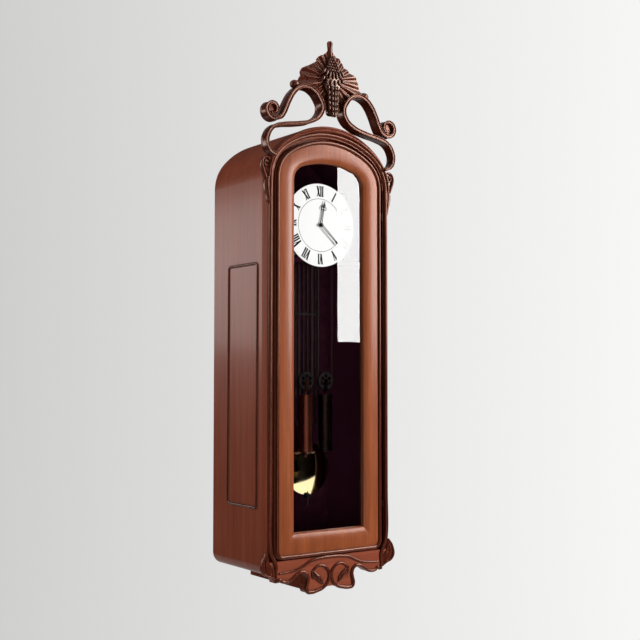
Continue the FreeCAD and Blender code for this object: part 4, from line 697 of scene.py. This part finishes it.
class CLOCK_OT_finishes(bpy.types.Operator):
    """Makes the finishes and puts them on the model's own pieces"""
    bl_idname = "clock.finishes"
    bl_label = "Finishes"

    def execute(self, context):
        c = context.scene.clock_colours
        grain_effect()
        wear_and_hollow_shade_effect()
        lapped_effect()
        self.woods(c)
        self.metals(c)
        dressed(painted("dial_enamel", c.dial, shade(c.dial, 0.985), gloss=0.6, scale=30, shine=0.05), "dial")
        dressed(pane(), "door_glass")
        return {"FINISHED"}

    def woods(self, c):
        """Finishes of the case, the door and the carving."""
        case, polish = (c.case_light, c.case_dark), {"gloss": 0.28, "coat": 0.16}
        dressed(wood("side_veneer", *case, **polish, lining_and_shade=c.lining_and_shade), "side_left", "side_right")
        dressed(wood("board_veneer", *case, **polish), "arched_top", "bottom_board", "bottom_block")
        dressed(wood("apron_veneer", *case, **polish, lying=True), "apron")
        dressed(wood("frame_veneer", c.frame_light, c.frame_dark, gloss=0.3, coat=0, shine=0.03, flank=case),
                "frame_stile_left", "frame_stile_right")
        wood("door_veneer", c.door_light, c.door_dark, gloss=0.28, coat=0.24, blur=0.25)
        dressed(carved_wood("stained_carving", c.carved_light_and_edge_highlight, c.carved_dark_and_hollow_shade, shine=0.5),
                "door_bead", "glazing_bead", "side_beads")
        carved_wood("polished_berries", shade(c.carved_light_and_edge_highlight, 0.55), shade(c.carved_dark_and_hollow_shade, 0.6), shine=0.65,
                    tint=(1.0, 0.7, 0.54))
        dressed(carved_wood("hood_stain", shade(c.carved_light_and_edge_highlight, 0.8), shade(c.carved_light_and_edge_highlight, 0.5), shine=0.25),
                "frame_arch")
        # Back board: its inner face takes the dark inside colour, partly painted shade for the unlit inside; its face
        # at the wall shows bare wood.
        dressed(painted("lining_and_painted_shade", c.lining_and_shade, shade(c.lining_and_shade, 0.7), gloss=0.85, shine=0.05, behind=case),
                "back_board")
        # Seat board and cleats: the inside colour darkened to a fifth, painted shade where they lie in the dark inside.
        dressed(painted("seat_painted_shade", shade(c.lining_and_shade, 0.2), shade(c.lining_and_shade, 0.15), gloss=0.85, shine=0.05),
                "seat_board", "seat_cleats")

    def metals(self, c):
        """Finishes of the movement, the pendulum, the weights, the hands and the hinges."""
        dressed(metal("movement_brass", c.brass, shade(c.brass, 0.7), gloss=0.22),
                "front_plate", "back_plate", "plate_pillars", "centre_wheel", "third_wheel", "escape_wheel",
                "great_wheel", "strike_wheel", "minute_wheel", "drum_left", "drum_right", "suspension_cock", "hammer")
        dressed(metal("bob_brass", c.bob, shade(c.bob, 0.95), gloss=0.02, relief=0.005), "bob")
        # Gridiron rods near black, painted shade for the unlit inside of the case.
        dressed(painted("rod_painted_shade", (0.026, 0.019, 0.019), (0.016, 0.012, 0.012), gloss=0.5, shine=0.05), "gridiron")
        # Pulleys near black, painted shade for the unlit inside of the case.
        dressed(painted("sheave_painted_shade", (0.013, 0.010, 0.010), (0.009, 0.007, 0.007), gloss=0.5, shine=0.05),
                "pulley_left", "pulley_right")
        # Weights: the left one's copper darkened as painted shade, the right one a darker copy of it as deeper painted
        # shade.
        dressed(metal("weight_copper_in_shade", c.copper, shade(c.copper, 0.85), gloss=0.3, relief=0), "weight_left")
        dressed(metal("weight_painted_deep_shade", (0.022, 0.012, 0.011), (0.015, 0.008, 0.008), gloss=0.25, relief=0),
                "weight_right")
        dressed(metal("train_steel", (0.45, 0.45, 0.46), (0.3, 0.3, 0.31), gloss=0.25),
                "anchor", "gong", "suspension_spring", "hanger_plate")
        # Weight lines near black, painted shade for the unlit inside of the case.
        painted("line_steel_in_painted_shade", (0.06, 0.045, 0.045), (0.04, 0.03, 0.03), gloss=0.5, shine=0.2)
        # Black hands, and the rating nut painted the same near black as shade below the bob.
        dressed(painted("hand_steel_and_nut_shade", (0.012, 0.012, 0.014), (0.006, 0.006, 0.008), gloss=0.5, shine=0.05),
                "minute_hand", "hour_hand", "rating_nut")
        painted("numeral_ink", (0.012, 0.012, 0.013), (0.008, 0.008, 0.009), gloss=0.6, shine=0.1)
        dressed(metal("hinge_bronze", (0.02, 0.012, 0.01), (0.012, 0.008, 0.007), gloss=0.4),
                "door_hinges", "frame_hinges")


# Carving

class CLOCK_OT_crest_scrolls(bpy.types.Operator):
    """Carves the two ribbons that curl over the arch"""
    bl_idname = "clock.crest_scrolls"
    bl_label = "Crest scrolls"

    def execute(self, context):
        sizes = context.scene.clock_sizes
        w, d = sizes.ribbon_width / MM / 2, sizes.ribbon_depth / MM / 2
        front = [(share * w, d - drop) for share, drop in RIBBON_EDGE]
        edge = front + [(0.72 * w, 0)] + [(x, -z) for x, z in reversed(front)]
        hollow = 1.5
        section = drawn([(0, d - hollow)] + edge + [(0, hollow - d)] + mirrored(edge), closed=True, steps=3)
        curl = []
        for i in range(VOLUTE_POINTS):
            share = i / (VOLUTE_POINTS - 1)
            angle = math.radians(VOLUTE_START - VOLUTE_SWEEP * share)
            radius = VOLUTE_EYE + VOLUTE_GROWTH * share
            curl.append((VOLUTE[0] + radius * math.cos(angle), VOLUTE[1] + radius * math.sin(angle)))
        thick = swell(VOLUTE_POINTS, 0.62, 0.85, 1.0) + swell(len(RIBBON), 1.0, 1.0, 0.8)
        middle = PROUD + 5
        for side, label in SIDES:
            ribbon = swept(f"crest_ribbon_{label}", raised(curl + RIBBON, CREST, side), section, middle, thick)
            clear()
            bpy.ops.mesh.primitive_cylinder_add(vertices=48, radius=0.0155, depth=0.010)
            disc = settled(bpy.context.object, (side * VOLUTE[0], middle, VOLUTE[1] + CREST), UPRIGHT)
            carved(tidied(joined(ribbon.name, [ribbon, disc])), f"crest_scroll_{label}")
        removed(section)
        return {"FINISHED"}


class CLOCK_OT_crest_leaf(bpy.types.Operator):
    """Folds the leaf that fans out behind the grapes, with its stem and curled tips"""
    bl_idname = "clock.crest_leaf"
    bl_label = "Crest leaf"

    def execute(self, context):
        sizes = context.scene.clock_sizes
        section = round_section(0.0062, 0.0062)
        parts = [self.leaf(sizes), swept("stem", raised(STEM, CREST), section, PROUD + 9,
                                         [1.25, 1, 0.8, 0.78, 0.66, 0.25])]
        removed(section)
        for side, _ in SIDES:
            for x, z, radius in ((101, 88, 11.5), (92, 84, 7.5)):
                parts.append(ball(radius, (side * x, PROUD + 8, CREST + z), (1, 0.95, 0.9), segments=28, rings=16))
        carved(tidied(joined("crest_fan", parts), 50), "crest_leaf")
        return {"FINISHED"}

    def leaf(self, sizes):
        """A grid laid as rays from the root to the leaf's edge, pleated and made thick."""
        rays = sorted((math.atan2(z - LEAF_ROOT, x), math.hypot(x, z - LEAF_ROOT)) for x, z in LEAF_EDGE)

        def reach(angle):
            for (a, r), (b, s) in zip(rays, rays[1:]):
                if a <= angle <= b:
                    return r + (s - r) * (angle - a) / max(b - a, 1e-9)
            return rays[-1][1]

        clear()
        bpy.ops.mesh.primitive_grid_add(x_subdivisions=312, y_subdivisions=12, size=2)
        leaf = bpy.context.object
        for spot in leaf.data.vertices:
            turn, out = spot.co.x, LEAF_EYE + (1 - LEAF_EYE) * (spot.co.y + 1) / 2
            angle = math.pi / 2 - math.pi * abs(turn)
            fold = math.cos(sizes.pleats * angle) * min(1, max(0, (TIP_END - angle) / FOLD_START))
            r = reach(max(rays[0][0], min(rays[-1][0], angle))) * out * (1 + LEAF_NOTCH * fold * out ** 4)
            front = LEAF_RIM + LEAF_DOME * (1 - out ** 2) + sizes.leaf_pleat * fold * min(1, 1.6 * out)
            spot.co = (math.copysign(r * math.cos(angle), turn) * MM, PROUD * MM + LEAF_BACK - front,
                       (CREST + LEAF_ROOT + r * math.sin(angle)) * MM)
        return thickened(tidied(leaf, 60), sizes.leaf_thickness, -1)


class CLOCK_OT_grapes(bpy.types.Operator):
    """Hangs the bunch of grapes in the middle of the crest"""
    bl_idname = "clock.grapes"
    bl_label = "Grapes"

    def execute(self, context):
        half = [(x * 0.7, z) for x, z in BUNCH]
        parts = [slab("bunch_core", raised(half + mirrored(half[1:-1]), CREST), PROUD - 4, 18, 5)]
        clear()
        bpy.ops.mesh.primitive_ico_sphere_add(subdivisions=3, radius=1)
        berry = bpy.context.object
        for spot in berry.data.vertices:
            narrow = 1 - 0.16 * max(0, -spot.co.z) ** 2
            spot.co.x *= narrow
            spot.co.y *= narrow
        berry.data.shade_smooth()
        for x, z, wide, tall, lean, proud in self.spots():
            parts.append(settled(copied(berry), (x, PROUD + proud, CREST + z), (0, math.radians(-lean), 0),
                                 (wide * MM, wide * MM, tall * MM)))
        removed(berry)
        bunch = tidied(joined("grape_bunch", parts), 60)
        carried(bunch, "case", "carved_wood", "polished_berries", "grape_cluster")
        return {"FINISHED"}

    def spots(self):
        """Each berry's place across and up, half width, half height, lean in degrees and place in depth."""
        spots = []
        for row, count in enumerate((1, 2, 3, 4, 5, 4)):
            for i in range(count):
                spots.append(((i - (count - 1) / 2) * 7.2, 166 - row * 6.4, 3.9, 3.7, 0, -4))
        for count, step, across, top, drop, wide, tall, proud in ((7, 13, 42, 154, 32, 3.6, 9.5, -5),
                                                                  (6, 15, 46, 142, 38, 4.0, 8.0, -4)):
            for i in range(count):
                lean = (i - (count - 1) / 2) * step
                a = math.radians(lean)
                spots.append((math.sin(a) * across, top - math.cos(a) * drop, wide, tall, lean, proud))
        for row in range(6):
            for i in range(4):
                drop, proud = (2, -6) if i in (1, 2) else (0, -3)
                if row < 5 or drop:
                    spots.append(((i - 1.5) * (8.6 - 0.42 * row), 92 - row * 12.2 - drop, 4.5, 7.0, 0, proud))
        return spots


class CLOCK_OT_mouldings(bpy.types.Operator):
    """Runs the hood's double moulding and the bead round the frame"""
    bl_idname = "clock.mouldings"
    bl_label = "Mouldings"

    def execute(self, context):
        bead = context.scene.clock_sizes.frame_bead
        section = drawn(HOOD_SECTION, closed=True, steps=3)
        line, rise, foot = arch_line(*HOOD_ARCH), HOOD_ARCH[2], 0.2
        thick = [foot + (1 - foot) * ((z - SPRING) / rise) ** 1.5 for _, z in line]
        carried(swept("hood_moulding", line, section, FACE - 3.6, thick), "case", "case_wood", "hood_stain")
        removed(section)
        right = raised(FRAME_FOOT, APRON)
        line = right + arch_line(*BEAD_ARCH) + mirrored(right)
        thick = [0.6, 0.85] + [1] * (len(line) - 4) + [0.85, 0.6]
        section = round_section(bead, bead)
        carved(swept("frame_roll", line, section, FACE, thick), "frame_bead")
        removed(section)
        return {"FINISHED"}


class CLOCK_OT_arch_shade_lining(bpy.types.Operator):
    """Lines the inside of the arched top with a dark sheet, painted shade for the unlit inside"""
    bl_idname = "clock.arch_lining"
    bl_label = "Arch lining"

    def execute(self, context):
        back, front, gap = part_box("back_board")[0].y / MM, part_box("arched_top")[0].y / MM, 1
        curve = drawn(arch_line(*SHADE_LINING_ARCH))
        curve.data.extrude = ((back - front) / 2 - gap) * MM
        curve.data.bevel_depth = 0.0002
        carried(meshed(curve, "arch_lining", (back + front) / 2), "case", "case_wood", "lining_and_painted_shade")
        return {"FINISHED"}


class CLOCK_OT_door_face(bpy.types.Operator):
    """Shapes the door's frame as one softly rounded moulding round the window"""
    bl_idname = "clock.door_face"
    bl_label = "Door face"

    def execute(self, context):
        foot, sill = (corner.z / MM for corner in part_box("door_rail"))
        half, window, corner = DOOR_ARCH[0], WINDOW_ARCH[0], DOOR_CORNER
        left = []
        for share in shares(12):
            left.append(((-half, SPRING + (foot + corner - SPRING) * share),
                         (-window, SPRING + (sill - SPRING) * share)))
        for share in shares(6):
            a = math.pi + math.pi / 2 * share
            left.append(((corner - half + corner * math.cos(a), foot + corner + corner * math.sin(a)), (-window, sill)))
        for share in shares(4):
            left.append((((corner - half) * (1 - share), foot), (-window * (1 - share), sill)))
        loop = list(zip(arch_line(*DOOR_ARCH, steps=12), arch_line(*WINDOW_ARCH, steps=12))) + left
        loop += [((-o[0], o[1]), (-n[0], n[1])) for o, n in reversed(left[:-1])]
        clear()
        bpy.ops.mesh.primitive_grid_add(x_subdivisions=len(loop), y_subdivisions=len(DOOR_SECTION), size=2)
        face = bpy.context.object
        for spot in face.data.vertices:
            along, across = (round((c + 1) / 2 * len(line)) % len(line)
                             for c, line in zip(spot.co, (loop, DOOR_SECTION)))
            share, deep = DOOR_SECTION[across]
            (x, z), (u, w) = loop[along]
            spot.co = ((x + (u - x) * share) * MM, (FACE + deep) * MM, (z + (w - z) * share) * MM)
        face.name = face.data.name = "door_face"
        carried(tidied(face), "door", "door_wood", "door_veneer", "door_stile_left", "door_stile_right", "door_arch",
                "door_rail")
        return {"FINISHED"}


class CLOCK_OT_side_scrolls(bpy.types.Operator):
    """Carves the small curled leaf at each shoulder"""
    bl_idname = "clock.side_scrolls"
    bl_label = "Side scrolls"

    def execute(self, context):
        relief = context.scene.clock_sizes.relief_bead
        curl, vein = round_section(1.5 * relief, 0.0055), round_section(relief, relief)
        front, middle = FACE - 2.5, FACE + 1.5
        for side, label in SIDES:
            parts = [slab(f"shoulder_leaf_{label}", raised(SIDE_BODY, SPRING, side), front, 11, 2.5),
                     swept("curl", raised(SIDE_CURL, SPRING, side), curl, middle,
                           swell(len(SIDE_CURL), 1.15, 1.0, 0.8)),
                     swept("vein", raised(SIDE_VEIN, SPRING, side), vein, front,
                           swell(len(SIDE_VEIN), 0.4, 1.1, 0.4)),
                     ball(4.4, (side * SIDE_EYE[0], middle, SPRING + SIDE_EYE[1]), (1, 1.3, 1), segments=24,
                          rings=14)]
            carved(tidied(joined(f"shoulder_leaf_{label}", parts)), f"side_scroll_{label}")
        removed(curl, vein)
        return {"FINISHED"}


class CLOCK_OT_ears(bpy.types.Operator):
    """Carves the pointed leaf at each foot of the frame"""
    bl_idname = "clock.ears"
    bl_label = "Ears"

    def execute(self, context):
        relief = context.scene.clock_sizes.relief_bead
        section, front = round_section(relief, relief), FACE - 2
        for side, label in SIDES:
            parts = [slab(f"foot_leaf_{label}", raised(EAR_BODY, APRON, side), front, 7, 2.6)]
            for points, size in ((EAR_RIM, (0.6, 1.3, 0.8)), (EAR_VEIN, (0.5, 1.2, 0.4))):
                parts.append(swept("ear_line", raised(points, APRON, side), section, front,
                                   swell(len(points), *size)))
            carved(tidied(joined(f"foot_leaf_{label}", parts)), f"ear_{label}")
        removed(section)
        return {"FINISHED"}


class CLOCK_OT_apron_carving(bpy.types.Operator):
    """Carves the apron's wave, its two scrolls and the leaves in them"""
    bl_idname = "clock.apron_carving"
    bl_label = "Apron carving"

    def execute(self, context):
        bead = context.scene.clock_sizes.apron_bead
        section, leaf, vein = round_section(bead, bead), round_section(0.0075, 0.0045), round_section(0.0016, 0.0016)
        rise = raised(APRON_RISE, APRON)
        rise += mirrored(rise[:-1])
        parts = [swept("apron_rise", rise, section, FACE, swell(len(rise), 0.6, 1.0, 0.6))]
        for side, _ in SIDES:
            wave, points = raised(APRON_WAVE, APRON, side), raised(APRON_LEAF, APRON, side)
            parts.append(swept("apron_wave", wave, section, FACE, swell(len(wave), 0.75, 1.05, 0.7)))
            parts.append(swept("apron_leaf", points, leaf, FACE - 0.5, [0.15, 0.85, 1, 0.7, 0.15]))
            parts.append(swept("apron_vein", points, vein, FACE - 4.8, [0.3, 1, 1, 0.8, 0.3]))
        removed(section, leaf, vein)
        carved(tidied(joined("apron_carving", parts)))
        return {"FINISHED"}


# Dial

def stroke(corners):
    """A flat stroke of a numeral, by its four corners in millimetres."""
    clear()
    bpy.ops.mesh.primitive_plane_add(size=2)
    piece = bpy.context.object
    for spot, (x, z) in zip(piece.data.vertices, (corners[0], corners[1], corners[3], corners[2])):
        spot.co = (x * MM, 0, z * MM)
    return piece


def letter(kind, tall):
    """One letter of a numeral, thick and thin with serifs, standing on its foot."""
    lines = [((a, 0), (b, 0), (d, tall), (c, tall)) for a, b, c, d in STROKES[kind]]
    for x, w in SERIFS[kind]:
        lines.append(((x - w, tall - SERIF_HEIGHT), (x + w, tall - SERIF_HEIGHT), (x + w, tall), (x - w, tall)))
        if kind != "V":
            lines.append(((-x - w, 0), (-x + w, 0), (-x + w, SERIF_HEIGHT), (-x - w, SERIF_HEIGHT)))
    return joined(f"letter_{kind}", [stroke(line) for line in lines])


class CLOCK_OT_dial_print(bpy.types.Operator):
    """Prints the hours and the fine ring on the dial"""
    bl_idname = "clock.dial_print"
    bl_label = "Dial print"

    def execute(self, context):
        sizes = context.scene.clock_sizes
        middle = (DIAL_LOW + DIAL_HIGH) / 2
        middle.y = DIAL_LOW.y - INK_GAP
        tall = sizes.numeral_height / MM
        masters = {kind: letter(kind, tall) for kind in "IVX"}
        parts = []
        for hour, word in enumerate(HOURS, 1):
            across = -sum(LETTER_ROOM[kind] for kind in word) / 2
            for kind in word:
                copy = copied(masters[kind])
                lift = Matrix.Translation(((across + LETTER_ROOM[kind] / 2) * MM, 0,
                                           sizes.numeral_radius - tall * MM / 2))
                turn = Matrix.Rotation(math.radians(30 * hour), 4, "Y")
                copy.matrix_world = Matrix.Translation(middle) @ turn @ lift
                bpy.ops.object.transform_apply(location=True, rotation=True, scale=True)
                parts.append(copy)
                across += LETTER_ROOM[kind]
        removed(*masters.values())
        clear()
        bpy.ops.mesh.primitive_circle_add(vertices=160, radius=sizes.track_radius, fill_type="NOTHING",
                                          location=middle, rotation=UPRIGHT)
        ring = bpy.context.object
        bpy.ops.object.transform_apply(location=True, rotation=True, scale=True)
        bpy.ops.object.mode_set(mode="EDIT")
        bpy.ops.mesh.select_all(action="SELECT")
        bpy.ops.mesh.extrude_edges_move()
        bpy.ops.transform.resize(value=(0.985, 1, 0.985), center_override=middle)
        bpy.ops.object.mode_set(mode="OBJECT")
        whole = tidied(joined("hour_print", parts + [ring]))
        for face in whole.data.polygons:
            if face.normal.y > 0:
                face.flip()
        carried(thickened(whole, INK, 1), "case", "blued_steel", "numeral_ink")
        return {"FINISHED"}


# Weights

class CLOCK_OT_lines(bpy.types.Operator):
    """Hangs each weight on a line that runs round its pulley"""
    bl_idname = "clock.lines"
    bl_label = "Lines"

    def execute(self, context):
        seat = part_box("seat_board")[0].z
        for side, label in SIDES:
            low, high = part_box(f"cable_{label}")
            radius = (high.y - low.y) / 2
            outer, inner = (high.x - radius, low.x + radius)[::side]
            wheel_low, wheel_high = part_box(f"pulley_{label}")
            axle = (wheel_low + wheel_high) / 2
            bend = (outer - inner) / 2
            lowest, reach = axle.z - abs(bend), ARC_HANDLE * bend
            route = [(outer, high.z), (outer, axle.z), (axle.x, lowest), (inner, axle.z), (inner, seat)]
            curve = drawn([(x / MM, z / MM) for x, z in route], handles="VECTOR")
            _, first, under, last, _ = curve.data.splines[0].bezier_points
            for spot in (first, under, last):
                spot.handle_left_type = spot.handle_right_type = "FREE"
            first.handle_right = (outer, axle.z - abs(reach), 0)
            under.handle_left = (axle.x + reach, lowest, 0)
            under.handle_right = (axle.x - reach, lowest, 0)
            last.handle_left = (inner, axle.z - abs(reach), 0)
            section = round_section(radius, radius)
            bevelled(curve, section)
            line = meshed(curve, f"line_{label}", (low.y + high.y) / 2 / MM)
            removed(section)
            coated(line, "line_steel_in_painted_shade")
            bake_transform(line)
            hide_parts(f"cable_{label}")
        return {"FINISHED"}


# Studio

def card(name, corner, across, up, strength, through=False, side=""):
    """A glowing or black card that shows only in gloss, or through glass too, or to one side of the glass alone."""
    clear()
    bpy.ops.mesh.primitive_plane_add(size=1)
    board = bpy.context.object
    board.name = board.data.name = name
    corner, across, up = Vector(corner), Vector(across), Vector(up)
    for spot, place in zip(board.data.vertices, (corner, corner + across, corner + up, corner + across + up)):
        spot.co = place
    material = bpy.data.materials.new(name)
    material.use_nodes = True
    tree = material.node_tree
    glow = placed(tree, "ShaderNodeEmission", Color=(1, 0.995, 0.985), Strength=strength)
    if side:
        path = tree.nodes.new("ShaderNodeLightPath").outputs
        order = "LESS_THAN" if side == "outside" else "GREATER_THAN"
        seen = reckoned(tree, "MULTIPLY", reckoned(tree, order, path["Transmission Depth"], 0.5),
                        reckoned(tree, "LESS_THAN", path["Diffuse Depth"], 0.5))
        fed(tree, glow, Strength=reckoned(tree, "MULTIPLY", seen, strength))
    tree.links.new(glow.outputs["Emission"], tree.nodes["Material Output"].inputs["Surface"])
    board.data.materials.append(material)
    for ray in ("camera", "diffuse", "volume_scatter", "shadow"):
        setattr(board, f"visible_{ray}", False)
    board.visible_transmission = through


def lamp(name, place, aim, size, power, glossy):
    """A soft square lamp aimed at a point."""
    clear()
    bpy.ops.object.light_add(type="AREA", location=place)
    light = bpy.context.object
    light.name = name
    light.rotation_euler = (Vector(aim) - Vector(place)).to_track_quat("-Z", "Y").to_euler()
    light.data.size = size
    light.data.energy = power
    light.visible_transmission = False
    light.visible_glossy = glossy


class CLOCK_OT_stage(bpy.types.Operator):
    """Sets the floor, the studio's light and the camera"""
    bl_idname = "clock.stage"
    bl_label = "Stage"

    def execute(self, context):
        self.floor()
        for held in CARDS:
            card(*held)
        for held in LAMPS:
            lamp(*held)
        self.background(context.scene)
        self.camera(context.scene)
        context.scene.view_settings.view_transform = "Standard"
        return {"FINISHED"}

    def floor(self):
        """A pale round floor below the clock."""
        clear()
        bpy.ops.mesh.primitive_circle_add(vertices=96, radius=2.4, fill_type="NGON", location=(0, -0.4, -2.2))
        floor = bpy.context.object
        floor.name = floor.data.name = "studio_floor"
        material, tree, shader, vector = finish("studio_floor")
        cloud = stretched_noise(tree, vector, (3, 3, 3), 3)
        fed(tree, shader, Base_Color=mixed(tree, cloud, (0.74, 0.74, 0.74), (0.78, 0.78, 0.77)), Roughness=0.8)
        floor.data.materials.append(material)

    def background(self, scene):
        """Even light on the object, and a sweep from grey to white where the background itself is seen."""
        world = bpy.data.worlds.new("studio")
        scene.world = world
        world.use_nodes = True
        world.cycles.sampling_method = "NONE"
        tree = world.node_tree
        light = tree.nodes["Background"]
        fed(tree, light, Color=(1, 1, 1), Strength=AMBIENT)
        place = tree.nodes.new("ShaderNodeTexCoord")
        across = tree.nodes.new("ShaderNodeVectorMath")
        across.operation = "DOT_PRODUCT"
        across.inputs[1].default_value = SWEEP_AXIS
        tree.links.new(place.outputs["Generated"], across.inputs[0])
        tone = spread_out(tree, across.outputs["Value"], *SWEEP_ENDS, *SWEEP_TONES)
        seen = placed(tree, "ShaderNodeBackground", Color=(1, 1, 0.993), Strength=tone)
        path = tree.nodes.new("ShaderNodeLightPath").outputs
        shown = reckoned(tree, "MAXIMUM", path["Is Camera Ray"], path["Is Glossy Ray"])
        shown = reckoned(tree, "MAXIMUM", shown, path["Is Transmission Ray"])
        shown = reckoned(tree, "MULTIPLY", shown, reckoned(tree, "LESS_THAN", path["Diffuse Depth"], 0.5))
        switched(tree, shown, light.outputs["Background"], seen.outputs["Background"], "World Output")

    def camera(self, scene):
        """The camera at the photograph's place."""
        clear()
        bpy.ops.object.camera_add(location=CAMERA_PLACE)
        camera = bpy.context.object
        camera.name = "photo_camera"
        camera.rotation_euler = Vector(CAMERA_AHEAD).to_track_quat("-Z", "Y").to_euler()
        camera.data.lens = CAMERA_LENS
        camera.data.sensor_width = CAMERA_SENSOR
        camera.data.clip_end = 100
        scene.camera = camera


STEPS = (CLOCK_OT_finishes, CLOCK_OT_crest_scrolls, CLOCK_OT_crest_leaf, CLOCK_OT_grapes, CLOCK_OT_mouldings,
         CLOCK_OT_arch_shade_lining, CLOCK_OT_door_face, CLOCK_OT_side_scrolls, CLOCK_OT_ears, CLOCK_OT_apron_carving,
         CLOCK_OT_dial_print, CLOCK_OT_lines, CLOCK_OT_stage)


class CLOCK_PT_panel(bpy.types.Panel):
    """Lists the steps that dress the clock, with its sizes and colours"""
    bl_idname = "CLOCK_PT_panel"
    bl_label = "Wall clock"
    bl_space_type = "VIEW_3D"
    bl_region_type = "UI"
    bl_category = "Clock"

    def draw(self, context):
        for step in STEPS:
            self.layout.operator(step.bl_idname)
        for group in (context.scene.clock_sizes, context.scene.clock_colours):
            for name in group.__annotations__:
                self.layout.prop(group, name)


CLASSES = (ClockSizes, ClockColours) + STEPS + (CLOCK_PT_panel,)


def register():
    for kind in CLASSES:
        bpy.utils.register_class(kind)
    bpy.types.Scene.clock_sizes = PointerProperty(type=ClockSizes)
    bpy.types.Scene.clock_colours = PointerProperty(type=ClockColours)


def unregister():
    del bpy.types.Scene.clock_colours
    del bpy.types.Scene.clock_sizes
    for kind in reversed(CLASSES):
        bpy.utils.unregister_class(kind)


def main():
    register()
    bpy.ops.clock.finishes()
    bpy.ops.clock.crest_scrolls()
    bpy.ops.clock.crest_leaf()
    bpy.ops.clock.grapes()
    bpy.ops.clock.mouldings()
    bpy.ops.clock.arch_lining()
    bpy.ops.clock.door_face()
    bpy.ops.clock.side_scrolls()
    bpy.ops.clock.ears()
    bpy.ops.clock.apron_carving()
    bpy.ops.clock.dial_print()
    bpy.ops.clock.lines()
    bpy.ops.clock.stage()


if __name__ == "__main__":
    main()
